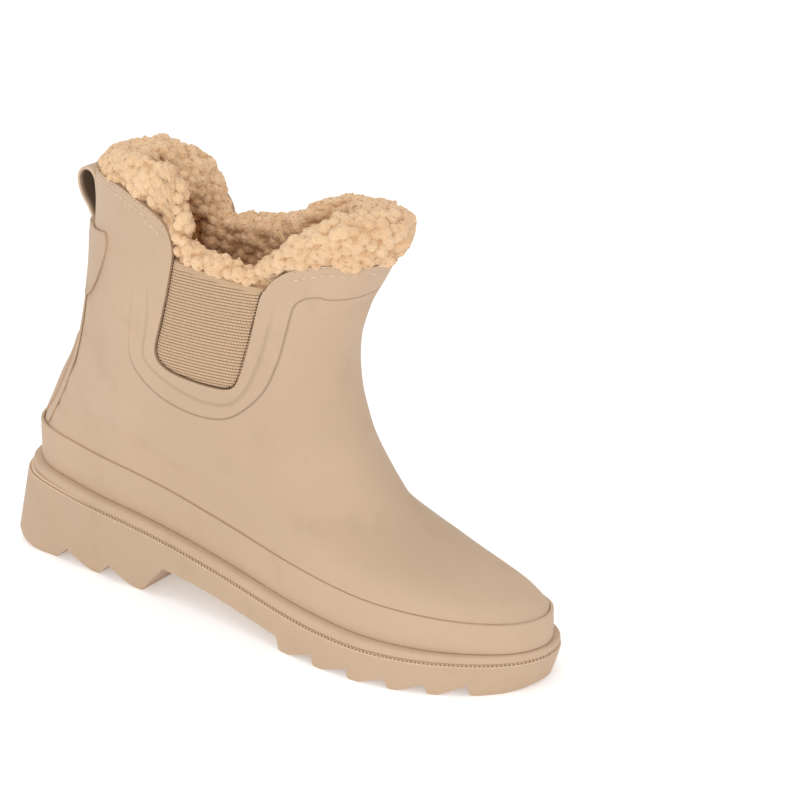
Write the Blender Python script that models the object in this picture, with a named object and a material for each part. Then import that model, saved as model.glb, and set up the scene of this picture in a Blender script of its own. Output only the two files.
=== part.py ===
"""Ankle-high rain boot with elastic gores and a deep fleece lining, right foot.

Frame: +X to the toe, +Y to the medial side, +Z up, floor at z = 0, origin under the middle of the
bounding box. Sizes below are in millimetres and become metres where a mesh is made.
"""
import math
from collections import namedtuple

import bmesh
import bpy
import numpy as np

# ---------------------------------------------------------------- driving sizes, millimetres
LENGTH = 282.5            # outsole at its rim, from the seat line of the heel to the toe
BALL_WIDTH = 84.0         # outsole at its rim across the ball
COLLAR_HEIGHT = 200.0     # floor to the rubber collar at the back
ORIGIN_X = 137.6          # from the back of the rim to the frame's origin
ORIGIN_Y = -2.5
MM = 0.001

RUBBER = 2.0              # wall of the upper
PILE = 5.2                # deep sherpa lining
GAP = 0.3                 # air between neighbours
OVERLAY_GAP = 0.4         # air under an overlay, with room for its flat facets
RAND_PROUD = 0.6          # rand beyond the upper above it
REBATE = 1.2              # upper set back behind the rand
PLATEAU = 1.2             # step of the sole top inside the groove
GROOVE_DEPTH = 1.7
WELT_BOTTOM = 1.5         # heights over the rim
WELT_TOP = 6.5
RAND_BOTTOM = 6.8
INSOLE_THICK = 4.0
ELASTIC = 1.6
GORE_DEPTH = 2.4          # elastic behind the outer face of the rubber
GORE_SEAM = 4.0           # elastic tucked behind the rubber all round
STRIP_THICK = 0.9
PLATE_THICK = 1.0
PATCH_THICK = 1.2
LOOP_HALF_WIDTH = 11.0
LOOP_STRAP = 1.4
CHANNEL_WIDTH = 9.0       # channel that parts the lugs along the middle
CHANNEL_HEIGHT = 3.0
CHANNEL_END = 260.0       # it stops short of the toe

DENSE = 720               # points round the fine outline
STATIONS = 44             # columns of the meshes

# ---------------------------------------------------------------- sections
# Outline of the rim: station in % of LENGTH, half widths in % of BALL_WIDTH. The back of the
# heel stands out behind the seat line.
Rim = namedtuple("Rim", "station lateral medial")
RIM = [
    Rim(-1.5, 0.0, 0.0),
    Rim(0.4, 24.0, 20.5),
    Rim(3.2, 32.0, 30.0),
    Rim(7.0, 35.8, 35.6),
    Rim(12.5, 37.6, 38.9),
    Rim(19.8, 39.3, 40.1),
    Rim(29.7, 40.5, 39.0),
    Rim(39.6, 41.7, 39.3),
    Rim(49.6, 44.4, 41.9),
    Rim(59.5, 49.2, 45.4),
    Rim(69.4, 52.4, 46.4),
    Rim(77.5, 51.4, 43.2),
    Rim(85.0, 44.9, 38.1),
    Rim(91.0, 35.2, 34.0),
    Rim(95.9, 23.6, 30.2),
    Rim(99.2, 11.0, 22.6),
    Rim(100.8, -4.8, 5.2),
]

# Line of the upper just over the rand, in the same shares.
WALL = [
    Rim(1.0, 0.0, 0.0),
    Rim(2.0, 15.5, 12.5),
    Rim(3.6, 22.5, 19.5),
    Rim(6.8, 28.6, 27.4),
    Rim(12.0, 31.3, 32.9),
    Rim(19.8, 33.9, 34.8),
    Rim(29.7, 35.1, 33.7),
    Rim(39.6, 36.3, 33.9),
    Rim(49.6, 39.0, 36.5),
    Rim(59.5, 43.8, 40.0),
    Rim(69.4, 47.0, 41.1),
    Rim(77.5, 46.0, 37.8),
    Rim(85.0, 39.4, 33.0),
    Rim(90.4, 31.5, 28.2),
    Rim(94.5, 23.0, 24.4),
    Rim(97.8, 13.0, 19.6),
    Rim(99.4, 3.5, 12.4),
    Rim(99.9, -4.5, 4.8),
]

# Side line of the sole: station in % of LENGTH, rim height and rand rise in % of COLLAR_HEIGHT.
Side = namedtuple("Side", "station rim rise")
SIDE = [
    Side(0.0, 19.2, 13.2),
    Side(7.1, 18.3, 13.4),
    Side(15.9, 16.8, 13.5),
    Side(26.5, 15.6, 13.3),
    Side(35.4, 14.1, 13.1),
    Side(44.2, 12.2, 12.8),
    Side(54.2, 10.2, 12.7),
    Side(66.2, 8.4, 12.5),
    Side(77.2, 7.3, 11.8),
    Side(88.5, 6.8, 10.7),
    Side(95.6, 6.8, 10.0),
    Side(99.5, 6.8, 9.8),
]

# Sections of the upper: level in % of COLLAR_HEIGHT, back, front and widest station in % of
# LENGTH, half widths in % of BALL_WIDTH, roundness of the front and back, share of shaft section.
Section = namedtuple("Section", "level back front lateral medial widest front_round back_round shaft")
SECTIONS = [
    Section(16.5, 2.2, 99.4, 47.6, 47.6, 70.8, 2.2, 2.2, 0.00),
    Section(19.5, 3.0, 96.5, 47.0, 44.2, 67.3, 2.2, 2.2, 0.08),
    Section(22.0, 3.6, 91.0, 46.4, 41.8, 63.7, 2.2, 2.2, 0.20),
    Section(24.0, 4.1, 84.6, 45.2, 40.8, 58.4, 2.2, 2.2, 0.35),
    Section(26.0, 4.2, 79.1, 44.6, 40.5, 53.1, 2.1, 2.2, 0.50),
    Section(28.5, 4.7, 74.7, 44.0, 40.5, 46.7, 2.1, 2.2, 0.70),
    Section(32.5, 5.4, 72.0, 43.5, 41.1, 42.5, 2.1, 2.2, 0.90),
    Section(38.5, 6.4, 69.2, 43.5, 41.7, 38.9, 2.1, 2.2, 1.00),
    Section(46.0, 8.2, 66.4, 43.5, 42.3, 37.2, 2.2, 2.2, 1.00),
    Section(55.5, 10.6, 64.1, 43.5, 42.3, 36.1, 2.2, 2.3, 1.00),
    Section(66.0, 12.8, 63.5, 44.6, 43.5, 36.1, 2.3, 2.3, 1.00),
    Section(75.0, 14.4, 65.3, 45.8, 43.5, 36.8, 2.3, 2.3, 1.00),
    Section(85.0, 16.0, 69.4, 47.6, 43.6, 37.5, 2.3, 2.3, 1.00),
    Section(97.5, 17.0, 73.8, 48.8, 43.8, 38.2, 2.3, 2.3, 1.00),
    Section(111.0, 17.7, 77.5, 48.8, 44.0, 38.2, 2.3, 2.3, 1.00),
]
FIRST_LEVEL = 33.0        # level of the rand's top line
SHAFT_LEVEL = 115.0       # above it a level is a plain height

# Underside, millimetres along X: lug tips with the height of the step before each of them.
Lug = namedtuple("Lug", "tip step")
FOREFOOT_LUGS = [
    Lug(170.0, 7.0),
    Lug(191.0, 5.3),
    Lug(210.5, 4.9),
    Lug(229.5, 4.7),
    Lug(246.5, 4.7),
    Lug(262.5, 5.4),
]
# Heel: back of each flat, tip, and the notch after it.
HeelLug = namedtuple("HeelLug", "flat tip notch notch_height")
HEEL_LUGS = [
    HeelLug(16.0, 25.7, 34.8, 7.3),
    HeelLug(49.0, 53.7, 62.8, 7.6),
    HeelLug(77.0, 81.8, 97.2, 16.4),
]
Point = namedtuple("Point", "x z")
HEEL_BACK = [Point(-22.0, 12.0), Point(-9.0, 6.0), Point(-2.0, 3.3), Point(6.0, 1.5)]
ARCH = [Point(114.0, 14.9), Point(128.0, 12.9), Point(141.0, 10.9), Point(155.0, 9.0)]
TOE_SPRING = [Point(273.0, 0.0), Point(278.0, 1.0), Point(283.0, 3.0), Point(290.0, 6.5)]
# Flare of the wall at the floor, millimetres outward: station in % of LENGTH.
Flare = namedtuple("Flare", "station out")
FLARE = [Flare(-1.5, 6.5), Flare(0.4, 7.0), Flare(3.0, 5.0), Flare(8.0, 2.2), Flare(14.0, 1.3),
         Flare(32.0, 1.3), Flare(55.0, 0.6), Flare(80.0, 0.0), Flare(92.0, -0.8),
         Flare(97.0, -2.5), Flare(100.0, -4.0)]
EDGE_HEIGHT = 6.5         # the wall's lower edge turns in below this
# and is this far in at the floor: well rounded at the heel, crisp at the forefoot.
EDGE_TURN = [Flare(0.0, 2.6), Flare(34.0, 2.6), Flare(58.0, 1.0), Flare(70.0, 0.5),
             Flare(100.0, 0.3)]

# Bead over the groove: how far its bulge stands from the rim, millimetres outward.
BEAD = [Flare(-1.5, -2.6), Flare(2.0, -2.4), Flare(8.0, -1.2), Flare(16.0, -0.5),
        Flare(100.0, -0.3)]
# Its section: share of the depth to the upper, share of its height.
BEAD_SECTION = [(0.26, 0.0), (0.07, 0.14), (0.0, 0.38), (0.12, 0.66), (0.42, 0.9), (0.80, 1.0),
                (1.0, 1.0), (1.0, 0.0)]

# Rubber collar and gore opening in side view, back to front, millimetres.
COLLAR_LATERAL = [
    Point(0.0, 200.0), Point(50.0, 200.0), Point(72.0, 199.8), Point(83.0, 199.0),
    Point(96.0, 195.3), Point(106.5, 190.5), Point(111.5, 185.5), Point(113.5, 179.0),
    Point(113.2, 172.0), Point(108.5, 156.0), Point(103.2, 140.0), Point(99.0, 127.0),
    Point(99.6, 121.2), Point(104.5, 117.6), Point(112.0, 115.8), Point(124.0, 114.6),
    Point(134.0, 114.4), Point(139.5, 115.8), Point(142.5, 119.5), Point(145.5, 127.0),
    Point(150.0, 141.0), Point(154.4, 155.0), Point(157.7, 163.6), Point(160.2, 166.8),
    Point(163.0, 170.6), Point(169.0, 175.4), Point(176.0, 178.6), Point(185.0, 180.6),
    Point(193.0, 180.4), Point(199.0, 178.6), Point(240.0, 176.8),
]
MEDIAL_SHIFT = -27.0      # the medial gore sits further back
MEDIAL_DROP = 12.0        # and the soft shaft is lower there
# Height of the opening's edge for the lining and the gores: x, height.
EDGE_LATERAL = [
    Point(40.0, 200.0), Point(72.0, 199.8), Point(83.0, 199.0), Point(96.0, 195.3),
    Point(106.5, 190.5), Point(111.5, 185.5), Point(114.0, 171.4), Point(160.0, 166.6),
    Point(163.0, 170.6), Point(169.0, 175.4), Point(176.0, 178.6), Point(185.0, 180.6),
    Point(193.0, 180.4), Point(199.0, 178.6), Point(220.0, 177.6),
]
# Crest of the fleece: x, height and how far it rolls out beyond the rubber (negative: inside).
Crest = namedtuple("Crest", "x height reach")
CREST_LATERAL = [
    Crest(46.0, 203.8, -2.4), Crest(54.0, 205.0, -2.2), Crest(64.0, 208.5, -1.2),
    Crest(74.0, 211.0, -0.5), Crest(90.0, 212.5, -0.5), Crest(98.0, 213.0, -2.0),
    Crest(113.0, 213.0, -2.2), Crest(119.0, 208.5, -2.4), Crest(123.5, 187.0, -1.5),
    Crest(128.0, 181.5, -1.0), Crest(136.0, 180.5, -1.0), Crest(148.0, 181.5, -1.0),
    Crest(158.0, 182.5, -2.4), Crest(166.0, 188.0, -1.5), Crest(177.0, 195.5, 0.0),
    Crest(190.0, 199.5, 1.0), Crest(207.0, 199.0, 1.2),
]
CREST_MEDIAL = [
    Crest(46.0, 203.8, -2.4), Crest(56.0, 202.0, -2.0), Crest(66.0, 198.0, -1.0),
    Crest(73.0, 195.0, -1.0), Crest(79.0, 189.5, -2.4), Crest(83.0, 181.0, -2.4),
    Crest(87.0, 169.5, -2.4), Crest(91.0, 166.0, -2.4), Crest(101.0, 169.0, -1.0),
    Crest(113.0, 172.5, -1.0), Crest(125.0, 174.5, -1.0), Crest(134.0, 177.0, -2.4),
    Crest(140.0, 181.0, -2.4), Crest(147.0, 186.0, -1.5), Crest(154.0, 189.5, 0.0),
    Crest(170.0, 191.5, 1.0), Crest(190.0, 193.0, 1.0), Crest(207.0, 199.0, 1.2),
]

# Pull loop in the middle plane: line of the strap, from its outer end over the top.
LOOP_LINE = [
    Point(41.4, 171.2), Point(39.4, 174.0), Point(36.8, 178.0), Point(35.0, 182.5),
    Point(35.0, 186.8), Point(37.3, 190.0), Point(40.8, 190.0), Point(43.2, 186.8),
    Point(43.8, 182.0), Point(43.8, 176.5), Point(43.6, 171.2),
]
LOOP_POINTS = 24

# ---------------------------------------------------------------- colours
RUBBER_COLOUR = (0.63, 0.47, 0.31, 1.0)
ELASTIC_COLOUR = (0.50, 0.33, 0.19, 1.0)
FLEECE_COLOUR = (0.86, 0.66, 0.42, 1.0)


# ---------------------------------------------------------------- curves
def monotone(x, knots, values):
    """Smooth interpolation without overshoot, flat beyond the ends."""
    knots = np.asarray(knots, float)
    values = np.asarray(values, float)
    step = np.diff(knots)
    chord = np.diff(values) / step
    slope = np.zeros(len(knots))
    slope[0] = chord[0]
    slope[-1] = chord[-1]
    for i in range(1, len(knots) - 1):
        if chord[i - 1] * chord[i] > 0.0:
            before = 2.0 * step[i] + step[i - 1]
            after = step[i] + 2.0 * step[i - 1]
            slope[i] = (before + after) / (before / chord[i - 1] + after / chord[i])
    x = np.clip(x, knots[0], knots[-1])
    i = np.clip(np.searchsorted(knots, x, side="right") - 1, 0, len(knots) - 2)
    t = (x - knots[i]) / step[i]
    start = (2 * t**3 - 3 * t**2 + 1) * values[i] + (t**3 - 2 * t**2 + t) * step[i] * slope[i]
    end = (3 * t**2 - 2 * t**3) * values[i + 1] + (t**3 - t**2) * step[i] * slope[i + 1]
    return start + end


def closed_spline(points, count):
    """Closed cubic spline through plan points, read at even steps."""
    points = np.asarray(points, float)
    size = len(points)
    gap = np.hypot(*(np.roll(points, -1, 0) - points).T)
    system = np.zeros((size, size))
    right = np.zeros((size, 2))
    for i in range(size):
        before = (i - 1) % size
        after = (i + 1) % size
        system[i, before] += gap[before]
        system[i, i] += 2.0 * (gap[before] + gap[i])
        system[i, after] += gap[i]
        ahead = (points[after] - points[i]) / gap[i]
        behind = (points[i] - points[before]) / gap[before]
        right[i] = 6.0 * (ahead - behind)
    bend = np.linalg.solve(system, right)
    start = np.concatenate([[0.0], np.cumsum(gap)])
    result = []
    for place in np.linspace(0.0, start[-1], count, endpoint=False):
        i = min(np.searchsorted(start, place, side="right") - 1, size - 1)
        after = (i + 1) % size
        s = place - start[i]
        r = gap[i] - s
        curve = (bend[i] * r**3 + bend[after] * s**3) / (6.0 * gap[i])
        curve = curve + (points[i] / gap[i] - bend[i] * gap[i] / 6.0) * r
        curve = curve + (points[after] / gap[i] - bend[after] * gap[i] / 6.0) * s
        result.append(curve)
    return np.array(result)


def smoothstep(x, low, high):
    t = np.clip((x - low) / (high - low), 0.0, 1.0)
    return t * t * (3.0 - 2.0 * t)


def inset(outline, depth):
    """Plan outline moved inward."""
    along = np.roll(outline, -1, 0) - np.roll(outline, 1, 0)
    inward = np.stack([-along[:, 1], along[:, 0]], 1)
    inward /= np.linalg.norm(inward, axis=1)[:, None]
    return outline + inward * np.broadcast_to(depth, len(outline))[:, None]


def plan_line(table):
    """Closed plan line: heel back, lateral side, toe, medial side."""
    lateral = [(row.station / 100 * LENGTH, -row.lateral / 100 * BALL_WIDTH) for row in table]
    medial = [(row.station / 100 * LENGTH, row.medial / 100 * BALL_WIDTH) for row in table]
    return closed_spline(lateral + medial[-2:0:-1], DENSE)


OUTLINE = plan_line(RIM)
BASE = plan_line(WALL)


def pick_stations(count):
    """Columns closer together where the outline turns more."""
    along = np.roll(OUTLINE, -1, 0) - OUTLINE
    heading = np.unwrap(np.arctan2(along[:, 1], along[:, 0]))
    turn = np.abs(np.diff(np.concatenate([heading, [heading[0] + 2.0 * math.pi]])))
    turn = np.convolve(np.concatenate([turn[-20:], turn, turn[:20]]), np.ones(41) / 41, "valid")
    weight = 0.6 / DENSE + 0.4 * turn / turn.sum()
    place = np.concatenate([[0.0], np.cumsum(weight)])[:-1]
    return [int(np.searchsorted(place, k / count - 1e-9)) for k in range(count)]


COLUMNS = pick_stations(STATIONS)


def rim_height(x):
    return monotone(x, [row.station / 100 * LENGTH for row in SIDE],
                    [row.rim / 100 * COLLAR_HEIGHT for row in SIDE])


def rand_height(x):
    return monotone(x, [row.station / 100 * LENGTH for row in SIDE],
                    [(row.rim + row.rise) / 100 * COLLAR_HEIGHT for row in SIDE])


# ---------------------------------------------------------------- the upper's outer surface
def section_value(level, field, scale):
    levels = [row.level / 100 * COLLAR_HEIGHT for row in SECTIONS]
    return float(monotone(np.array([level]), levels,
                          [getattr(row, field) * scale for row in SECTIONS])[0])


def ring(level):
    """Closed line round the upper at one level, fine, with its true heights."""
    back = section_value(level, "back", LENGTH / 100)
    front = section_value(level, "front", LENGTH / 100)
    lateral = section_value(level, "lateral", BALL_WIDTH / 100)
    medial = section_value(level, "medial", BALL_WIDTH / 100)
    widest = section_value(level, "widest", LENGTH / 100)
    shaft = section_value(level, "shaft", 1.0)
    angle = np.arctan2(BASE[:, 1], (BASE[:, 0] - LENGTH / 2) * 0.33)
    c = np.cos(angle)
    s = np.sin(angle)
    power = np.where(c >= 0, section_value(level, "front_round", 1.0),
                     section_value(level, "back_round", 1.0))
    reach = np.where(c >= 0, front - widest, widest - back)
    half = np.where(s < 0, lateral, medial)
    radius = (np.abs(c)**power + np.abs(s)**power)**(-1.0 / power)
    low = BASE[:, 0].min()
    high = BASE[:, 0].max()
    foot_x = back + (BASE[:, 0] - low) * (front - back) / (high - low)
    foot_y = BASE[:, 1] * np.where(BASE[:, 1] < 0, lateral, medial) / (BALL_WIDTH * 0.476)
    x = (1 - shaft) * foot_x + shaft * (widest + reach * c * radius)
    y = (1 - shaft) * foot_y + shaft * half * s * radius
    lift = rand_height(x) - FIRST_LEVEL
    z = level + lift * (1 - smoothstep(level, FIRST_LEVEL, SHAFT_LEVEL))
    return np.stack([x, y, z], 1)


def skin(level):
    """Points and outward normals of the outer surface at one level."""
    here = ring(level)
    along = np.roll(here, -1, 0) - np.roll(here, 1, 0)
    rise = ring(level + 0.5) - ring(level - 0.5)
    normal = np.cross(along, rise)
    return here, normal / np.linalg.norm(normal, axis=1)[:, None]


def level_at(height, x):
    """Level whose line passes at a height at one station."""
    levels = np.linspace(FIRST_LEVEL, SHAFT_LEVEL, 60)
    lift = rand_height(x) - FIRST_LEVEL
    heights = levels + lift * (1 - smoothstep(levels, FIRST_LEVEL, SHAFT_LEVEL))
    return height if height > SHAFT_LEVEL else float(np.interp(height, heights, levels))


def skin_row(level, depth):
    """One mesh row at a depth under the outer surface."""
    here, normal = skin(level)
    row = here - normal * np.broadcast_to(depth, len(here))[:, None]
    return row[COLUMNS]


def foot_row(depth, height):
    """One mesh row of the upright wall behind the rand, depth inward from the upper's line."""
    plan = inset(BASE, depth)[COLUMNS]
    return np.column_stack([plan, height(plan[:, 0])])


def rim_row(depth, height):
    """One mesh row at an inset from the rim, at a height over the rim."""
    plan = inset(OUTLINE, depth)[COLUMNS]
    return np.column_stack([plan, rim_height(plan[:, 0]) + height])


def side_of(side, level, x):
    """Point and normal on the lateral or medial side at one station."""
    here, normal = skin(level)
    half = here[:, 1] < 0 if side == "lateral" else here[:, 1] > 0
    order = np.argsort(here[half, 0])
    xs = here[half, 0][order]
    point = [np.interp(x, xs, here[half, k][order]) for k in range(3)]
    out = [np.interp(x, xs, normal[half, k][order]) for k in range(3)]
    return np.array(point), np.array(out)


def back_of(level, arc):
    """Point and normal round the back, arc length from the middle, medial positive."""
    here, normal = skin(level)
    here = np.roll(here, DENSE // 2, 0)
    normal = np.roll(normal, DENSE // 2, 0)
    length = np.concatenate([[0.0], np.cumsum(np.linalg.norm(np.diff(here, axis=0), axis=1))])
    length = length[DENSE // 2] - length
    order = np.argsort(length)
    point = [np.interp(arc, length[order], here[order, k]) for k in range(3)]
    out = [np.interp(arc, length[order], normal[order, k]) for k in range(3)]
    return np.array(point), np.array(out)


# ---------------------------------------------------------------- mesh helpers
def material(name, colour, roughness):
    made = bpy.data.materials.new(name)
    made.use_nodes = True
    shader = made.node_tree.nodes["Principled BSDF"]
    shader.inputs["Base Color"].default_value = colour
    shader.inputs["Roughness"].default_value = roughness
    shader.inputs["Metallic"].default_value = 0.0
    made.diffuse_color = colour
    return made


def to_world(point):
    return ((point[0] - ORIGIN_X) * MM, (point[1] - ORIGIN_Y) * MM, point[2] * MM)


def add_object(name, points, faces, colour, roughness, crease=40.0):
    """Closed mesh object with its own material."""
    mesh = bpy.data.meshes.new(name)
    bm = bmesh.new()
    verts = [bm.verts.new(to_world(p)) for p in points]
    for face in faces:
        bm.faces.new([verts[i] for i in face])
    bmesh.ops.recalc_face_normals(bm, faces=bm.faces)
    bmesh.ops.triangulate(bm, faces=bm.faces)
    bm.to_mesh(mesh)
    bm.free()
    mesh.shade_smooth()
    mesh.set_sharp_from_angle(angle=math.radians(crease))
    made = bpy.data.objects.new(name, mesh)
    bpy.context.collection.objects.link(made)
    mesh.materials.append(material(name, colour, roughness))
    return made


def ring_faces(rows, columns, closed):
    """Quads between successive rows, each row a closed ring."""
    faces = []
    last = rows if closed else rows - 1
    for r in range(last):
        below = r * columns
        above = ((r + 1) % rows) * columns
        for c in range(columns):
            d = (c + 1) % columns
            faces.append((below + c, below + d, above + d, above + c))
    return faces


def cap_faces(first, columns):
    """Strips across a closed row from the lateral to the medial side."""
    half = columns // 2
    faces = [(first, first + 1, first + columns - 1)]
    for c in range(1, half - 1):
        faces.append((first + c, first + c + 1, first + columns - c - 1, first + columns - c))
    faces.append((first + half - 1, first + half, first + half + 1))
    return faces


def tube(name, rows, colour, roughness, crease=40.0):
    """Ring-shaped solid: the rows run round its wall and close on the first."""
    count = len(rows[0])
    return add_object(name, np.concatenate(rows), ring_faces(len(rows), count, True),
                      colour, roughness, crease)


def plug(name, rows, colour, roughness, crease=40.0):
    """Solid with its first and last row filled across."""
    count = len(rows[0])
    faces = ring_faces(len(rows), count, False)
    faces += cap_faces(0, count) + cap_faces((len(rows) - 1) * count, count)
    return add_object(name, np.concatenate(rows), faces, colour, roughness, crease)


def slab(name, outer, inner, colour, roughness, crease=40.0):
    """Thin solid between two matching grids of points."""
    rows = len(outer)
    columns = len(outer[0])
    size = rows * columns
    points = [p for row in outer for p in row] + [p for row in inner for p in row]
    faces = []
    for r in range(rows - 1):
        for c in range(columns - 1):
            a = r * columns + c
            faces.append((a, a + 1, a + columns + 1, a + columns))
            faces.append((a + size, a + columns + size, a + columns + 1 + size, a + 1 + size))
    edge = [(0, c) for c in range(columns)] + [(r, columns - 1) for r in range(1, rows)]
    edge += [(rows - 1, c) for c in range(columns - 2, -1, -1)] + [(r, 0) for r in range(rows - 2, 0, -1)]
    for k, (r, c) in enumerate(edge):
        s, d = edge[(k + 1) % len(edge)]
        a = r * columns + c
        b = s * columns + d
        faces.append((a, a + size, b + size, b))
    return add_object(name, points, faces, colour, roughness, crease)


def prism(name, profile, low_y, high_y):
    """Cutter: side-view profile drawn across Y."""
    count = len(profile)
    points = [(p.x, low_y, p.z) for p in profile] + [(p.x, high_y, p.z) for p in profile]
    faces = [tuple(range(count)), tuple(range(2 * count - 1, count - 1, -1))]
    for i in range(count):
        j = (i + 1) % count
        faces.append((i, i + count, j + count, j))
    made = add_object(name, points, faces, RUBBER_COLOUR, 1.0)
    made.hide_render = True
    made.display_type = "WIRE"
    return made


def cut(target, cutter):
    modifier = target.modifiers.new(cutter.name, "BOOLEAN")
    modifier.operation = "DIFFERENCE"
    modifier.solver = "EXACT"
    modifier.object = cutter


# ---------------------------------------------------------------- pieces
def underside():
    """Side line of the lugs, heel to toe."""
    line = list(HEEL_BACK)
    for i, lug in enumerate(HEEL_LUGS):
        if i > 0:
            before = HEEL_LUGS[i - 1]
            line.append(Point(before.notch + 1.0, before.notch_height))
            line.append(Point(before.notch + 8.5, 2.4))
            line.append(Point(before.notch + 12.0, 0.9))
        line.append(Point(lug.flat, 0.0))
        line.append(Point(lug.tip, 0.0))
        line.append(Point(lug.notch, lug.notch_height))
    line += ARCH
    for i, lug in enumerate(FOREFOOT_LUGS):
        line.append(Point(lug.tip - 0.8, lug.step))
        line.append(Point(lug.tip, 0.6))
        line.append(Point(lug.tip + 1.6, 0.0))
        if i + 1 < len(FOREFOOT_LUGS):
            pitch = FOREFOOT_LUGS[i + 1].tip - lug.tip
            line.append(Point(lug.tip + 0.25 * pitch, 0.0))
    return line + TOE_SPRING


def wall_row(height):
    """Row on the sole's wall: flared to the floor, its lower edge turned in."""
    rim = rim_height(OUTLINE[:, 0])
    height = np.minimum(height, rim)
    flare = monotone(OUTLINE[:, 0], [row.station / 100 * LENGTH for row in FLARE],
                     [row.out for row in FLARE])
    turn = monotone(OUTLINE[:, 0], [row.station / 100 * LENGTH for row in EDGE_TURN],
                    [row.out for row in EDGE_TURN])
    turn = turn * np.maximum(1.0 - height / EDGE_HEIGHT, 0.0)
    plan = inset(OUTLINE, turn - flare * (1.0 - height / rim))
    return np.column_stack([plan, height])[COLUMNS]


def build_outsole():
    rows = [wall_row(-4.0), wall_row(EDGE_HEIGHT), wall_row(COLLAR_HEIGHT),
            rim_row(GROOVE_DEPTH - 0.2, 0.0), rim_row(GROOVE_DEPTH, PLATEAU)]
    sole = plug("outsole", rows, RUBBER_COLOUR, 0.6, 30.0)
    line = underside()
    below = [Point(line[-1].x + 5.0, -20.0), Point(line[0].x - 5.0, -20.0)]
    cut(sole, prism("tread_cutter", line + below, -70.0, 70.0))
    half = CHANNEL_WIDTH / 2
    channel = [Point(-30.0, -30.0), Point(-30.0, CHANNEL_HEIGHT),
               Point(CHANNEL_END, CHANNEL_HEIGHT), Point(CHANNEL_END, -30.0)]
    cut(sole, prism("channel_cutter", channel, -half, half))
    return sole


def build_welt():
    """Bead: bulging over the groove, sloping back to the upper, upright behind."""
    outer = monotone(OUTLINE[:, 0], [row.station / 100 * LENGTH for row in BEAD],
                     [row.out for row in BEAD])
    front = inset(OUTLINE, -outer)
    back = inset(BASE, REBATE - GAP)
    rise = WELT_TOP - WELT_BOTTOM
    rows = []
    for depth, height in BEAD_SECTION:
        plan = (front * (1.0 - depth) + back * depth)[COLUMNS]
        rows.append(np.column_stack([plan, rim_height(plan[:, 0]) + WELT_BOTTOM + rise * height]))
    return tube("welt", rows, RUBBER_COLOUR, 0.6)


def build_rand():
    def bottom(x):
        return rim_height(x) + RAND_BOTTOM

    def top(x):
        return rand_height(x) - 0.4

    def shoulder(x):
        return rand_height(x) - 1.0

    def middle(x):
        return (bottom(x) + top(x)) / 2

    inner = REBATE - GAP
    rows = [foot_row(-RAND_PROUD, bottom), foot_row(-RAND_PROUD, middle),
            foot_row(-RAND_PROUD, shoulder), foot_row(-0.3, top),
            foot_row(inner, top), foot_row(inner, bottom)]
    return tube("rand", rows, RUBBER_COLOUR, 0.6)


def plateau_height(x):
    return rim_height(x) + PLATEAU


def over_plateau(rise):
    def height(x):
        return plateau_height(x) + rise
    return height


def under_rand(drop):
    def height(x):
        return rand_height(x) - drop
    return height


LEVELS = [33.8, 36.5, 40.0, 43.5, 47.0, 51.0, 56.0, 63.0, 72.0, 83.0, 95.0, 108.0, 121.0, 134.0,
          147.0, 160.0, 178.0, 204.0]
SHARED_LEVELS = 15        # levels that the lining shares with the upper, up to the gores' tops


def build_upper():
    """Two millimetre shell with a rebate behind the rand, open below, at the collar and gores."""
    outer = [foot_row(REBATE, over_plateau(GAP)), foot_row(REBATE, under_rand(12.0)),
             foot_row(REBATE, under_rand(0.1))]
    inner = [foot_row(REBATE + RUBBER, over_plateau(GAP)),
             foot_row(REBATE + RUBBER, under_rand(12.0)),
             foot_row(REBATE + RUBBER, under_rand(1.5))]
    outer += [skin_row(level, 0.0) for level in LEVELS]
    inner += [skin_row(level, RUBBER) for level in LEVELS]
    upper = tube("upper", outer + inner[::-1], RUBBER_COLOUR, 0.6, 50.0)
    high = [Point(270.0, 260.0), Point(0.0, 260.0)]
    cut(upper, prism("collar_cutter_lateral", COLLAR_LATERAL + high, -90.0, 0.0))
    cut(upper, prism("collar_cutter_medial", medial_collar() + high, -0.01, 90.0))
    return upper


def medial_x(x):
    """Station of a lateral collar or gore feature on the medial side."""
    share = smoothstep(x, 45.0, 100.0) * (1.0 - smoothstep(x, 150.0, 205.0))
    return x + MEDIAL_SHIFT * share


def medial_drop(x):
    """How much lower the medial edge lies: zero in the middle plane at the back and front."""
    return MEDIAL_DROP * smoothstep(x, 50.0, 90.0) * (1.0 - smoothstep(x, 112.0, 200.0))


def medial_collar():
    return [Point(float(medial_x(p.x)), float(p.z - medial_drop(p.x))) for p in COLLAR_LATERAL]


def edge_height(side, x):
    if side == "lateral":
        return np.interp(x, [p.x for p in EDGE_LATERAL], [p.z for p in EDGE_LATERAL])
    xs = [float(medial_x(p.x)) for p in EDGE_LATERAL]
    return np.interp(x, xs, [p.z - float(medial_drop(p.x)) for p in EDGE_LATERAL])


GORE_BOTTOM = 115.0
GORE_TOP_REAR = 170.8
GORE_TOP_FRONT = 165.8


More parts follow.
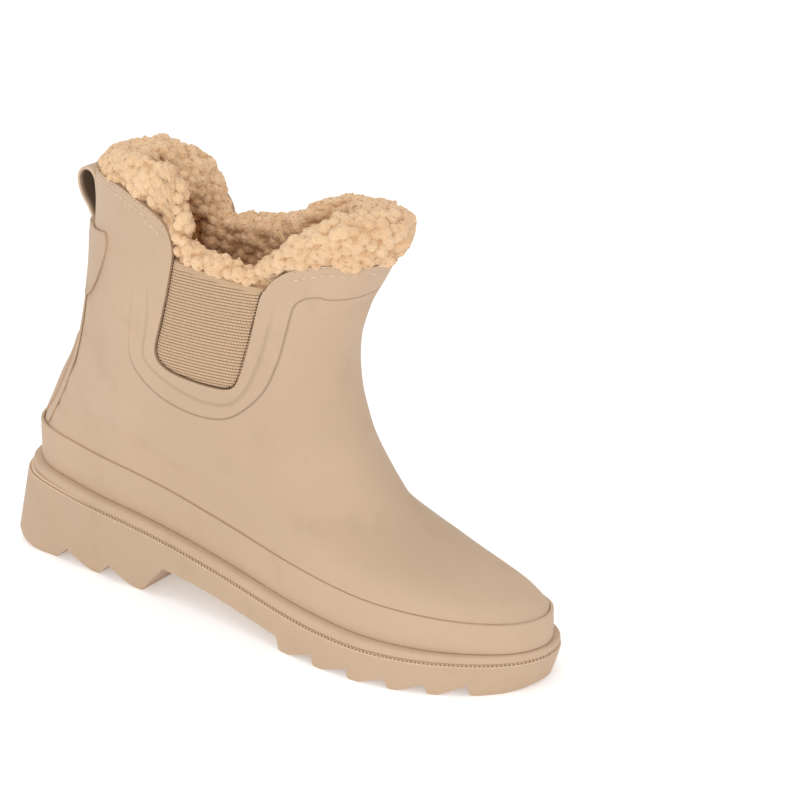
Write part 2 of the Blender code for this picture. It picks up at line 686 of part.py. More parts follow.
def build_gore(name, side):
    """Elastic panel tucked behind the edges of its opening, its top edge free."""
    outer = []
    inner = []
    for up in np.linspace(0.0, 1.0, 8):
        outer_row = []
        inner_row = []
        for along in np.linspace(0.0, 1.0, 8):
            top = GORE_TOP_REAR + (GORE_TOP_FRONT - GORE_TOP_REAR) * along
            low = GORE_BOTTOM - GORE_SEAM
            z = low + (top - low) * up
            rear = np.interp(z, [116.0, 126.0, 172.6], [100.0, 98.8, 113.2]) - GORE_SEAM
            front = np.interp(z, [116.0, 126.0, 167.0], [140.0, 145.0, 159.6]) + GORE_SEAM
            x = rear + (front - rear) * along
            if side == "medial":
                z = z - float(medial_drop(x))
                x = float(medial_x(x))
            point, out = side_of(side, level_at(z, x), x)
            outer_row.append(point - out * GORE_DEPTH)
            inner_row.append(point - out * (GORE_DEPTH + ELASTIC))
        outer.append(outer_row)
        inner.append(inner_row)
    return slab(name, outer, inner, ELASTIC_COLOUR, 0.85)


def lining_depth(here, level):
    """Outer face of the lining: close behind the rubber, further in behind the elastic."""
    x = here[:, 0]
    shift = np.where(here[:, 1] > 0, MEDIAL_SHIFT, 0.0)
    window = smoothstep(x - shift, 80.0, 92.0) * (1.0 - smoothstep(x - shift, 170.0, 184.0))
    return RUBBER + GAP + 2.1 * window * smoothstep(level, 84.0, 97.0)


def lining_rows():
    """Rows up the outside of the pile, over the rolled crest, and down the inside."""
    outer = [foot_row(REBATE + RUBBER + GAP, over_plateau(GAP)),
             foot_row(REBATE + RUBBER + GAP, under_rand(1.5))]
    inner = [foot_row(REBATE + RUBBER + GAP + PILE, over_plateau(GAP)),
             foot_row(REBATE + RUBBER + GAP + PILE, under_rand(4.0))]
    for level in LEVELS[:SHARED_LEVELS]:
        here, normal = skin(level)
        depth = lining_depth(here, level)
        outer.append((here - normal * depth[:, None])[COLUMNS])
        inner.append((here - normal * (depth + PILE)[:, None])[COLUMNS])
    return outer, [inner[1]] + inner[4::2], inner[0]


def column_point(column, level, depth):
    here, normal = skin(level)
    return here[column] - normal[column] * depth


def build_lining():
    """Deep pile tube from the insole to the crest, rolled out over the collar."""
    outer, inner, foot = lining_rows()
    base_level = LEVELS[SHARED_LEVELS - 1]
    mid_shares = [0.4, 0.8]
    top_rows = [[] for _ in range(len(mid_shares) + 9)]
    for column in COLUMNS:
        x, y, _ = ring(190.0)[column]
        side = "lateral" if y < 0 else "medial"
        table = CREST_LATERAL if side == "lateral" else CREST_MEDIAL
        crest = float(np.interp(x, [c.x for c in table], [c.height for c in table]))
        reach = float(np.interp(x, [c.x for c in table], [c.reach for c in table]))
        here, _ = skin(150.0)
        behind = float(lining_depth(here, 150.0)[column]) + GAP
        edge = float(edge_height(side, x))
        rise = crest - edge
        section = [(edge - 1.0 - (edge - 1.0 - base_level) * (1 - share), behind)
                   for share in mid_shares]
        lip = min(behind, -reach)
        section.append((edge + 1.0, behind))
        section.append((edge + 1.4 + 0.10 * rise, lip + 1.0))
        section.append((edge + 1.0 + 0.40 * rise, lip))
        section.append((edge + 0.72 * rise, lip + 0.8))
        section.append((edge + 0.93 * rise, lip + 0.25 * (behind + PILE - lip)))
        section.append((crest, lip + 0.50 * (behind + PILE - lip)))
        section.append((edge + 0.90 * rise, lip + 0.80 * (behind + PILE - lip)))
        section.append((edge + 0.60 * rise, behind + PILE - 0.4))
        section.append((edge - 4.0, behind + PILE))
        for row, (level, depth) in zip(top_rows, section):
            row.append(column_point(column, level, depth))
    rows = outer + [np.array(row) for row in top_rows] + inner[::-1] + [foot]
    return tube("fleece_lining", rows, FLEECE_COLOUR, 1.0, 60.0)


def build_insole():
    depth = REBATE + RUBBER + GAP + PILE + 0.6
    rows = [foot_row(depth, over_plateau(GAP)),
            foot_row(depth, over_plateau(GAP + INSOLE_THICK - 1.0)),
            foot_row(depth + 1.2, over_plateau(GAP + INSOLE_THICK))]
    return plug("insole", rows, FLEECE_COLOUR, 1.0)


# ---------------------------------------------------------------- back of the shaft
SHAFT_BACK = 12.0         # station at which the heights of the overlays are read
# Half widths along the surface: height, half width.
Half = namedtuple("Half", "height width")
PATCH_EDGE = [Half(135.0, 25.0), Half(138.5, 32.0), Half(147.0, 40.0), Half(157.0, 44.5),
              Half(166.5, 47.0), Half(169.0, 44.5)]
STRIP_EDGE = [Half(65.9, 26.0), Half(72.0, 24.5), Half(90.0, 24.0), Half(118.0, 23.5),
              Half(133.0, 23.0)]
PLATE_EDGE = [Half(68.5, 15.0), Half(71.5, 19.0), Half(90.0, 19.5), Half(105.0, 18.0),
              Half(109.0, 14.0)]


def wrap(name, edge, columns, depth, thickness, colour):
    """Overlay that follows the back of the shaft, with a row at each of the upper's levels."""
    outer = []
    inner = []
    low = edge[0].height + 2.0
    high = edge[-1].height - 2.0
    heights = [p.height for p in edge]
    lift = float(rand_height(SHAFT_BACK)) - FIRST_LEVEL
    for level in LEVELS:
        z = level + lift * (1.0 - float(smoothstep(level, FIRST_LEVEL, SHAFT_LEVEL)))
        if low < z < high and min(abs(z - h) for h in heights) > 1.2:
            heights.append(z)
    for z in sorted(heights):
        half = float(np.interp(z, [p.height for p in edge], [p.width for p in edge]))
        outer_row = []
        inner_row = []
        for across in np.linspace(-1.0, 1.0, columns):
            point, out = back_of(level_at(z, SHAFT_BACK), across * half)
            lower = depth(z, across * half)
            inner_row.append(point + out * lower)
            outer_row.append(point + out * (lower + thickness(z, across * half)))
        outer.append(outer_row)
        inner.append(inner_row)
    return slab(name, outer, inner, colour, 0.6)


def build_strip():
    return wrap("heel_strip", STRIP_EDGE, 9, lambda z, s: OVERLAY_GAP, lambda z, s: STRIP_THICK,
                RUBBER_COLOUR)


def build_plate():
    return wrap("heel_plate", PLATE_EDGE, 7, lambda z, s: STRIP_THICK + 2 * OVERLAY_GAP,
                lambda z, s: PLATE_THICK, RUBBER_COLOUR)


def build_patch():
    """Shield over the ends of the loop: thick in the middle, thin at its edges."""
    def depth(z, s):
        return 2.0 * OVERLAY_GAP + (STRIP_THICK + OVERLAY_GAP) * (1.0 - smoothstep(z, 134.0, 142.0)) * (abs(s) < 28.0)

    def thickness(z, s):
        middle = 1.0 - smoothstep(abs(s), 13.0, 25.0)
        return PATCH_THICK + middle * (0.2 + 2.6 * smoothstep(z, 140.0, 167.0))

    return wrap("loop_patch", PATCH_EDGE, 13, depth, thickness, RUBBER_COLOUR)


def build_loop():
    """Teardrop strap standing off the back of the shaft."""
    knots = np.array([(p.x, p.z) for p in LOOP_LINE])
    length = np.concatenate([[0.0], np.cumsum(np.linalg.norm(np.diff(knots, axis=0), axis=1))])
    place = np.linspace(0.0, length[-1], LOOP_POINTS)
    x = monotone(place, length, knots[:, 0])
    z = monotone(place, length, knots[:, 1])
    line = np.stack([x, z], 1)
    along = np.gradient(line, axis=0)
    along /= np.linalg.norm(along, axis=1)[:, None]
    side = np.stack([-along[:, 1], along[:, 0]], 1) * LOOP_STRAP / 2
    outer = []
    inner = []
    for y in (-LOOP_HALF_WIDTH, LOOP_HALF_WIDTH):
        outer.append([(p[0], y, p[1]) for p in line + side])
        inner.append([(p[0], y, p[1]) for p in line - side])
    return slab("pull_loop", outer, inner, RUBBER_COLOUR, 0.6)


def main():
    for old in list(bpy.data.objects):
        bpy.data.objects.remove(old, do_unlink=True)
    build_outsole()
    build_welt()
    build_rand()
    build_upper()
    build_gore("gore_lateral", "lateral")
    build_gore("gore_medial", "medial")
    build_lining()
    build_insole()
    build_strip()
    build_plate()
    build_patch()
    build_loop()


main()
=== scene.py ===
"""Visible pieces, finishes, light and camera for an ankle-high rain boot, right foot.

Sizes are in millimetres from the back of the sole's rim: +X to the toe, +Y to the medial side,
+Z up from the floor. They become metres in the frame's own place where a mesh is made.
"""
import math
from collections import namedtuple

import bmesh
import bpy
import numpy as np
from mathutils import Matrix, Vector, kdtree


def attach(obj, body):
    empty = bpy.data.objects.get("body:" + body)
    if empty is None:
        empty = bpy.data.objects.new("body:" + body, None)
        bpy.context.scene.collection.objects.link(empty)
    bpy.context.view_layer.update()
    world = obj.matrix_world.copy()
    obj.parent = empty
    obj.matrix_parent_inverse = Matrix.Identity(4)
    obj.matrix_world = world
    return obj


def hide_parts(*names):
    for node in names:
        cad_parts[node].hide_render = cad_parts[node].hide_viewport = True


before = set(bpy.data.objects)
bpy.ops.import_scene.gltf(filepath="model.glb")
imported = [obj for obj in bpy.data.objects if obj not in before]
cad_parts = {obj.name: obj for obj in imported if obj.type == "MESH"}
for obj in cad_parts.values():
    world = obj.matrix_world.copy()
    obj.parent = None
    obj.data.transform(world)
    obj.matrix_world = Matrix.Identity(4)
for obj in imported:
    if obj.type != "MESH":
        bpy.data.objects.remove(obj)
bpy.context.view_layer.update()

# ---------------------------------------------------------------- sizes, millimetres
LENGTH = 282.5
BALL_WIDTH = 84.0
COLLAR_HEIGHT = 200.0
ORIGIN = np.array([137.6, -2.5, 0.0])
MM = 0.001
RUBBER = 2.0
PILE = 5.2
GAP = 0.3
REBATE = 1.2
DENSE = 720

# Tables of the last and the sole: stations, widths and heights in hundredths of the length, of
# the ball's width and of the collar's height.
Rim = namedtuple("Rim", "station lateral medial")
RIM = [
    Rim(-1.5, 0.0, 0.0), Rim(0.4, 24.0, 20.5), Rim(3.2, 32.0, 30.0), Rim(7.0, 35.8, 35.6),
    Rim(12.5, 37.6, 38.9), Rim(19.8, 39.3, 40.1), Rim(29.7, 40.5, 39.0), Rim(39.6, 41.7, 39.3),
    Rim(49.6, 44.4, 41.9), Rim(59.5, 49.2, 45.4), Rim(69.4, 52.4, 46.4), Rim(77.5, 51.4, 43.2),
    Rim(85.0, 44.9, 38.1), Rim(91.0, 35.2, 34.0), Rim(95.9, 23.6, 30.2), Rim(99.2, 11.0, 22.6),
    Rim(100.8, -4.8, 5.2),
]
WALL = [
    Rim(1.0, 0.0, 0.0), Rim(2.0, 15.5, 12.5), Rim(3.6, 22.5, 19.5), Rim(6.8, 28.6, 27.4),
    Rim(12.0, 31.3, 32.9), Rim(19.8, 33.9, 34.8), Rim(29.7, 35.1, 33.7), Rim(39.6, 36.3, 33.9),
    Rim(49.6, 39.0, 36.5), Rim(59.5, 43.8, 40.0), Rim(69.4, 47.0, 41.1), Rim(77.5, 46.0, 37.8),
    Rim(85.0, 39.4, 33.0), Rim(90.4, 31.5, 28.2), Rim(94.5, 23.0, 24.4), Rim(97.8, 13.0, 19.6),
    Rim(99.4, 3.5, 12.4), Rim(99.9, -4.5, 4.8),
]
Side = namedtuple("Side", "station rim rise")
SIDE = [
    Side(0.0, 19.2, 13.2), Side(7.1, 18.3, 13.4), Side(15.9, 16.8, 13.5), Side(26.5, 15.6, 13.3),
    Side(35.4, 14.1, 13.1), Side(44.2, 12.2, 12.8), Side(54.2, 10.2, 12.7), Side(66.2, 8.4, 12.5),
    Side(77.2, 7.3, 11.8), Side(88.5, 6.8, 10.7), Side(95.6, 6.8, 10.0), Side(99.5, 6.8, 9.8),
]
Section = namedtuple("Section", "level back front lateral medial widest "
                                "front_round back_round shaft")
SECTIONS = [
    Section(16.5, 2.2, 99.4, 47.6, 47.6, 70.8, 2.2, 2.2, 0.00),
    Section(19.5, 3.0, 96.5, 47.0, 44.2, 67.3, 2.2, 2.2, 0.08),
    Section(22.0, 3.6, 91.0, 46.4, 41.8, 63.7, 2.2, 2.2, 0.20),
    Section(24.0, 4.1, 84.6, 45.2, 40.8, 58.4, 2.2, 2.2, 0.35),
    Section(26.0, 4.2, 79.1, 44.6, 40.5, 53.1, 2.1, 2.2, 0.50),
    Section(28.5, 4.7, 74.7, 44.0, 40.5, 46.7, 2.1, 2.2, 0.70),
    Section(32.5, 5.4, 72.0, 43.5, 41.1, 42.5, 2.1, 2.2, 0.90),
    Section(38.5, 6.4, 69.2, 43.5, 41.7, 38.9, 2.1, 2.2, 1.00),
    Section(46.0, 8.2, 66.4, 43.5, 42.3, 37.2, 2.2, 2.2, 1.00),
    Section(55.5, 10.6, 64.1, 43.5, 42.3, 36.1, 2.2, 2.3, 1.00),
    Section(66.0, 12.8, 63.5, 44.6, 43.5, 36.1, 2.3, 2.3, 1.00),
    Section(75.0, 14.4, 65.3, 45.8, 43.5, 36.8, 2.3, 2.3, 1.00),
    Section(85.0, 16.0, 69.4, 47.6, 43.6, 37.5, 2.3, 2.3, 1.00),
    Section(97.5, 17.0, 73.8, 48.8, 43.8, 38.2, 2.3, 2.3, 1.00),
    Section(111.0, 17.7, 77.5, 48.8, 44.0, 38.2, 2.3, 2.3, 1.00),
]
FIRST_LEVEL = 33.0
SHAFT_LEVEL = 115.0
FOOT_SQUASH = 0.33
BASE_HALF = 0.476

# The sole's underside, in millimetres.
Lug = namedtuple("Lug", "tip step")
FOREFOOT_LUGS = [Lug(170.0, 7.0), Lug(191.0, 5.3), Lug(210.5, 4.9), Lug(229.5, 4.7),
                 Lug(246.5, 4.7), Lug(262.5, 5.4)]
HeelLug = namedtuple("HeelLug", "flat tip notch notch_height")
HEEL_LUGS = [HeelLug(16.0, 25.7, 34.8, 7.3), HeelLug(49.0, 53.7, 62.8, 7.6),
             HeelLug(77.0, 81.8, 97.2, 16.4)]
Point = namedtuple("Point", "x z")
HEEL_BACK = [Point(-22.0, 12.0), Point(-9.0, 6.0), Point(-2.0, 3.3), Point(6.0, 1.5)]
ARCH = [Point(114.0, 14.9), Point(128.0, 12.9), Point(141.0, 10.9), Point(155.0, 9.0)]
TOE_SPRING = [Point(273.0, 0.0), Point(278.0, 1.0), Point(283.0, 3.0), Point(290.0, 6.5)]
CHANNEL_HALF = 4.5
CHANNEL_HEIGHT = 3.0
CHANNEL_END = 260.0
Flare = namedtuple("Flare", "station out")
FLARE = [Flare(-1.5, 6.5), Flare(0.4, 7.0), Flare(3.0, 5.0), Flare(8.0, 2.2), Flare(14.0, 1.3),
         Flare(32.0, 1.3), Flare(55.0, 0.6), Flare(80.0, 0.0), Flare(92.0, -0.8),
         Flare(97.0, -2.5), Flare(100.0, -4.0)]
EDGE_HEIGHT = 6.5
EDGE_TURN = [Flare(0.0, 2.6), Flare(34.0, 2.6), Flare(58.0, 1.0), Flare(70.0, 0.5),
             Flare(100.0, 0.3)]
BEAD = [Flare(-1.5, -2.6), Flare(2.0, -2.4), Flare(8.0, -1.2), Flare(16.0, -0.5),
        Flare(100.0, -0.3)]

# The collar's cut with the gore opening in it, and the edge that the gore's top closes.
COLLAR_LATERAL = [
    Point(0.0, 200.0), Point(50.0, 200.0), Point(72.0, 199.8), Point(83.0, 199.0),
    Point(96.0, 195.3), Point(106.5, 190.5), Point(111.5, 185.5), Point(113.5, 179.0),
    Point(113.2, 172.0), Point(108.5, 156.0), Point(103.2, 140.0), Point(99.0, 127.0),
    Point(99.6, 121.2), Point(104.5, 117.6), Point(112.0, 115.8), Point(124.0, 114.6),
    Point(134.0, 114.4), Point(139.5, 115.8), Point(142.5, 119.5), Point(145.5, 127.0),
    Point(150.0, 141.0), Point(154.4, 155.0), Point(157.7, 163.6), Point(160.2, 166.8),
    Point(163.0, 170.6), Point(169.0, 175.4), Point(176.0, 178.6), Point(185.0, 180.6),
    Point(193.0, 180.4), Point(199.0, 178.6), Point(240.0, 176.8),
]
OPENING = slice(7, 24)
MEDIAL_SHIFT = -27.0
MEDIAL_DROP = 12.0
EDGE_LATERAL = [
    Point(40.0, 200.0), Point(72.0, 199.8), Point(83.0, 199.0), Point(96.0, 195.3),
    Point(106.5, 190.5), Point(111.5, 185.5), Point(114.0, 172.4), Point(160.0, 166.2),
    Point(163.0, 170.6), Point(169.0, 175.4), Point(176.0, 178.6), Point(185.0, 180.6),
    Point(193.0, 180.4), Point(199.0, 178.6), Point(220.0, 177.6),
]
# The pile's crest: its height, and how far its lip hangs out past the rubber's outer face.
# Where reach is negative the lip lies further in than that face.
Crest = namedtuple("Crest", "x height reach")
CREST_LATERAL = [
    Crest(46.0, 203.8, -4.6), Crest(54.0, 205.0, -4.2), Crest(62.0, 208.0, -3.1),
    Crest(74.0, 211.0, -1.2), Crest(90.0, 212.5, -0.8), Crest(98.0, 213.0, -2.0),
    Crest(114.5, 213.0, -2.2), Crest(116.5, 208.0, -2.4), Crest(118.0, 187.0, -1.5),
    Crest(120.5, 178.4, -1.0), Crest(130.0, 177.0, -1.0), Crest(140.0, 175.6, -1.0),
    Crest(149.0, 174.6, -1.0), Crest(155.5, 171.4, -1.6), Crest(160.0, 173.4, -2.0),
    Crest(166.0, 179.8, -1.5), Crest(171.0, 186.0, -0.6), Crest(177.0, 191.8, 0.0),
    Crest(190.0, 199.0, 1.0), Crest(207.0, 196.5, 0.8),
]
CREST_MEDIAL = [
    Crest(46.0, 203.8, -4.6), Crest(56.0, 202.0, -2.0), Crest(66.0, 198.0, -0.5),
    Crest(73.0, 195.0, 0.6), Crest(79.0, 189.5, 0.2), Crest(83.0, 181.0, -1.6),
    Crest(87.0, 170.5, -2.4), Crest(91.0, 167.0, -2.4), Crest(101.0, 169.5, -1.0),
    Crest(113.0, 172.5, -1.0), Crest(125.0, 174.5, -1.0), Crest(134.0, 177.0, -2.4),
    Crest(140.0, 181.0, -2.4), Crest(147.0, 186.0, -1.5), Crest(154.0, 189.5, 0.0),
    Crest(170.0, 192.5, 1.0), Crest(190.0, 194.5, 1.0), Crest(207.0, 196.5, 0.8),
]
LOOP_LINE = [
    Point(41.2, 168.2), Point(38.6, 173.0), Point(35.4, 177.5), Point(33.6, 182.5),
    Point(33.6, 187.2), Point(36.4, 190.6), Point(40.8, 190.6), Point(43.4, 187.2),
    Point(44.0, 182.0), Point(44.0, 176.5), Point(43.6, 168.2),
]

# Moulded border round each gore: the fine outer step and the soft inner step.
BORDER_OUTER = [
    Point(240.0, 161.0), Point(188.7, 162.5), Point(181.4, 164.4), Point(176.0, 163.8),
    Point(171.6, 160.6), Point(168.8, 155.0), Point(164.3, 141.8), Point(160.0, 128.6),
    Point(154.0, 116.0), Point(144.0, 105.3), Point(135.0, 100.5), Point(122.4, 99.3),
    Point(107.0, 101.5), Point(94.7, 106.2), Point(85.0, 114.0), Point(82.4, 122.3),
    Point(84.3, 136.0), Point(86.8, 149.3), Point(91.0, 167.6), Point(95.0, 185.0),
]
BORDER_INNER = [
    Point(163.5, 160.0), Point(159.7, 149.3), Point(156.0, 138.0), Point(152.0, 127.3),
    Point(146.6, 116.0), Point(140.0, 108.7), Point(133.0, 106.5), Point(122.4, 106.6),
    Point(104.8, 111.0), Point(93.5, 117.3), Point(91.0, 123.5), Point(94.3, 136.0),
    Point(96.6, 153.7), Point(96.4, 171.3),
]
# Soft troughs (positive depth) and ridges (negative) of the rubber, each a blurred stroke.
Crease = namedtuple("Crease", "side x z run_x run_z width depth")
CREASES = [
    Crease("lateral", 176.0, 128.0, 7.0, 16.0, 8.0, 0.7),
    Crease("lateral", 193.0, 104.0, 12.0, 9.0, 7.0, 0.9),
    Crease("lateral", 184.0, 91.0, 20.0, -7.0, 6.0, -0.6),
    Crease("lateral", 165.0, 83.0, 22.0, -5.0, 8.0, 0.6),
    Crease("lateral", 62.0, 112.0, 5.0, 22.0, 9.0, 0.5),
    Crease("lateral", 72.0, 152.0, 4.0, 24.0, 8.0, -0.5),
    Crease("lateral", 40.0, 84.0, 16.0, 7.0, 8.0, -0.6),
    Crease("lateral", 110.0, 78.0, 30.0, -6.0, 9.0, 0.5),
    Crease("lateral", 228.0, 62.0, 14.0, -9.0, 8.0, 0.5),
    Crease("lateral", 186.0, 150.0, 8.0, 5.0, 5.0, 0.5),
    Crease("medial", 168.0, 118.0, 8.0, 14.0, 8.0, 0.8),
    Crease("medial", 182.0, 92.0, 20.0, -6.0, 7.0, 0.9),
    Crease("medial", 66.0, 100.0, 16.0, 10.0, 9.0, 0.6),
    Crease("medial", 110.0, 82.0, 26.0, -6.0, 9.0, -0.5),
    Crease("medial", 226.0, 60.0, 14.0, -8.0, 8.0, 0.5),
]


# ---------------------------------------------------------------- curves
def monotone(x, knots, values):
    """Smooth interpolation without overshoot, flat beyond the ends."""
    knots = np.asarray(knots, float)
    values = np.asarray(values, float)
    step = np.diff(knots)
    chord = np.diff(values) / step
    slope = np.zeros(len(knots))
    slope[0] = chord[0]
    slope[-1] = chord[-1]
    for i in range(1, len(knots) - 1):
        if chord[i - 1] * chord[i] > 0.0:
            before = 2.0 * step[i] + step[i - 1]
            after = step[i] + 2.0 * step[i - 1]
            slope[i] = (before + after) / (before / chord[i - 1] + after / chord[i])
    x = np.clip(x, knots[0], knots[-1])
    i = np.clip(np.searchsorted(knots, x, side="right") - 1, 0, len(knots) - 2)
    t = (x - knots[i]) / step[i]
    start = (2 * t**3 - 3 * t**2 + 1) * values[i] + (t**3 - 2 * t**2 + t) * step[i] * slope[i]
    end = (3 * t**2 - 2 * t**3) * values[i + 1] + (t**3 - t**2) * step[i] * slope[i + 1]
    return start + end


def closed_spline(points, count):
    """Closed cubic spline through plan points, read at even steps."""
    points = np.asarray(points, float)
    size = len(points)
    gap = np.hypot(*(np.roll(points, -1, 0) - points).T)
    system = np.zeros((size, size))
    right = np.zeros((size, 2))
    for i in range(size):
        before = (i - 1) % size
        after = (i + 1) % size
        system[i, before] += gap[before]
        system[i, i] += 2.0 * (gap[before] + gap[i])
        system[i, after] += gap[i]
        ahead = (points[after] - points[i]) / gap[i]
        behind = (points[i] - points[before]) / gap[before]
        right[i] = 6.0 * (ahead - behind)
    bend = np.linalg.solve(system, right)
    start = np.concatenate([[0.0], np.cumsum(gap)])
    result = []
    for place in np.linspace(0.0, start[-1], count, endpoint=False):
        i = min(np.searchsorted(start, place, side="right") - 1, size - 1)
        after = (i + 1) % size
        s = place - start[i]
        r = gap[i] - s
        curve = (bend[i] * r**3 + bend[after] * s**3) / (6.0 * gap[i])
        curve = curve + (points[i] / gap[i] - bend[i] * gap[i] / 6.0) * r
        curve = curve + (points[after] / gap[i] - bend[after] * gap[i] / 6.0) * s
        result.append(curve)
    return np.array(result)


def smooth_line(points, step):
    """Rounded open line through side-view points, at about even steps."""
    points = np.array([(p.x, p.z) for p in points])
    padded = np.vstack([2 * points[0] - points[1], points, 2 * points[-1] - points[-2]])
    result = []
    for i in range(1, len(padded) - 2):
        count = max(2, int(np.hypot(*(padded[i + 1] - padded[i])) / step))
        before, here, there, after = padded[i - 1:i + 3]
        for t in np.linspace(0.0, 1.0, count, endpoint=False):
            result.append(0.5 * (2 * here + (there - before) * t
                                 + (2 * before - 5 * here + 4 * there - after) * t * t
                                 + (3 * here - before - 3 * there + after) * t**3))
    return np.array(result + [points[-1]])


def smoothstep(x, low, high):
    """Smooth rise from zero at low to one at high."""
    t = np.clip((x - low) / (high - low), 0.0, 1.0)
    return t * t * (3.0 - 2.0 * t)


def travel(line):
    """Distance along a flat line at each of its points."""
    return np.concatenate([[0.0], np.cumsum(np.hypot(*np.diff(line, axis=0).T))])


def inset(outline, depth):
    """Plan outline moved inward."""
    along = np.roll(outline, -1, 0) - np.roll(outline, 1, 0)
    inward = np.stack([-along[:, 1], along[:, 0]], 1)
    inward /= np.linalg.norm(inward, axis=1)[:, None]
    return outline + inward * np.broadcast_to(depth, len(outline))[:, None]


def stations(table):
    """Lengthwise place of each row."""
    return [row.station / 100 * LENGTH for row in table]


def plan_line(table):
    """Closed plan outline from a table of half widths."""
    lateral = [(x, -row.lateral / 100 * BALL_WIDTH) for x, row in zip(stations(table), table)]
    medial = [(x, row.medial / 100 * BALL_WIDTH) for x, row in zip(stations(table), table)]
    return closed_spline(lateral + medial[-2:0:-1], DENSE)


OUTLINE = plan_line(RIM)
BASE = plan_line(WALL)


def rim_height(x):
    """Top of the sole at each station."""
    return monotone(x, stations(SIDE), [row.rim / 100 * COLLAR_HEIGHT for row in SIDE])


def rand_height(x):
    """Top of the rand at each station."""
    return monotone(x, stations(SIDE),
                    [(row.rim + row.rise) / 100 * COLLAR_HEIGHT for row in SIDE])


def section_value(level, field, scale):
    """One column of the sections, between their levels."""
    levels = [row.level / 100 * COLLAR_HEIGHT for row in SECTIONS]
    return float(monotone(np.array([level]), levels,
                          [getattr(row, field) * scale for row in SECTIONS])[0])


def ring(level):
    """Closed line round the rubber's outer face at one level."""
    back = section_value(level, "back", LENGTH / 100)
    front = section_value(level, "front", LENGTH / 100)
    lateral = section_value(level, "lateral", BALL_WIDTH / 100)
    medial = section_value(level, "medial", BALL_WIDTH / 100)
    widest = section_value(level, "widest", LENGTH / 100)
    shaft = section_value(level, "shaft", 1.0)
    angle = np.arctan2(BASE[:, 1], (BASE[:, 0] - LENGTH / 2) * FOOT_SQUASH)
    c = np.cos(angle)
    s = np.sin(angle)
    power = np.where(c >= 0, section_value(level, "front_round", 1.0),
                     section_value(level, "back_round", 1.0))
    reach = np.where(c >= 0, front - widest, widest - back)
    half = np.where(s < 0, lateral, medial)
    radius = (np.abs(c)**power + np.abs(s)**power)**(-1.0 / power)
    low = BASE[:, 0].min()
    high = BASE[:, 0].max()
    foot_x = back + (BASE[:, 0] - low) * (front - back) / (high - low)
    foot_y = BASE[:, 1] * np.where(BASE[:, 1] < 0, lateral, medial) / (BALL_WIDTH * BASE_HALF)
    x = (1 - shaft) * foot_x + shaft * (widest + reach * c * radius)
    y = (1 - shaft) * foot_y + shaft * half * s * radius
    lift = rand_height(x) - FIRST_LEVEL
    z = level + lift * (1 - smoothstep(level, FIRST_LEVEL, SHAFT_LEVEL))
    return np.stack([x, y, z], 1)


def skin(level):
    """Points and outward normals of the rubber's outer face at one level."""
    here = ring(level)
    along = np.roll(here, -1, 0) - np.roll(here, 1, 0)
    rise = ring(level + 0.5) - ring(level - 0.5)
    normal = np.cross(along, rise)
    return here, normal / np.linalg.norm(normal, axis=1)[:, None]


def level_at(height, x):
    """Level of the section that passes through one height; low on the foot the two differ."""
    levels = np.linspace(FIRST_LEVEL, SHAFT_LEVEL, 60)
    lift = rand_height(x) - FIRST_LEVEL
    heights = levels + lift * (1 - smoothstep(levels, FIRST_LEVEL, SHAFT_LEVEL))
    return height if height > SHAFT_LEVEL else float(np.interp(height, heights, levels))


def half_ring(side, level):
    """Points and normals of one side at one level, rear to front."""
    here, normal = skin(level)
    half = here[:, 1] < 0 if side == "lateral" else here[:, 1] > 0
    order = np.argsort(here[half, 0])
    return here[half][order], normal[half][order]


def between(x, places, values):
    """A row of three numbers read between the rows of a table."""
    return np.array([np.interp(x, places, values[:, k]) for k in range(3)])


def side_of(side, level, x):
    """Point and normal on the lateral or medial side at one station."""
    line, normals = half_ring(side, level)
    return between(x, line[:, 0], line), between(x, line[:, 0], normals)


def back_of(level, arc):
    """Point and normal round the back, arc length from the middle, medial positive."""
    here, normal = skin(level)
    here = np.roll(here, DENSE // 2, 0)
    normal = np.roll(normal, DENSE // 2, 0)
    length = np.concatenate([[0.0], np.cumsum(np.linalg.norm(np.diff(here, axis=0), axis=1))])
    length = length[DENSE // 2] - length
    order = np.argsort(length)
    return between(arc, length[order], here[order]), between(arc, length[order], normal[order])


def medial_x(x):
    """Station on the medial side for one on the lateral side: its gore lies further back."""
    share = smoothstep(x, 45.0, 100.0) * (1.0 - smoothstep(x, 150.0, 205.0))
    return x + MEDIAL_SHIFT * share


def medial_drop(x):
    """How much lower the medial collar is cut."""
    return MEDIAL_DROP * smoothstep(x, 50.0, 90.0) * (1.0 - smoothstep(x, 112.0, 200.0))


def on_side(side, line):
    """A lateral side-view line as it lies on either side."""
    if side == "lateral":
        return np.array(line)
    return np.stack([medial_x(line[:, 0]), line[:, 1] - medial_drop(line[:, 0])], 1)


def gore_window(x):
    """One across the opening of a gore, fading to nothing beside it."""
    return smoothstep(x, 80.0, 92.0) * (1.0 - smoothstep(x, 170.0, 184.0))


EDGE_STATIONS = np.linspace(EDGE_LATERAL[0].x, EDGE_LATERAL[-1].x, 181)
EDGE_LINE = np.stack([EDGE_STATIONS, np.interp(EDGE_STATIONS, [p.x for p in EDGE_LATERAL],
                                               [p.z for p in EDGE_LATERAL])], 1)


def edge_height(side, x):
    """Height of the collar's edge at one station of either side."""
    line = on_side(side, EDGE_LINE)
    return np.interp(x, line[:, 0], line[:, 1])


def line_distance(points, line):
    """Distance of side-view points from a line, signed: positive on its left."""
    best = np.full(len(points), 1e9)
    signed = np.zeros(len(points))
    for start, end in zip(line[:-1], line[1:]):
        run = end - start
        share = np.clip(((points - start) @ run) / (run @ run), 0.0, 1.0)
        offset = points - start - share[:, None] * run
        far = np.hypot(offset[:, 0], offset[:, 1])
        turn = run[0] * (points[:, 1] - start[1]) - run[1] * (points[:, 0] - start[0])
        nearer = far < best
        best = np.where(nearer, far, best)
        signed = np.where(nearer, np.sign(turn) * far, signed)
    return signed


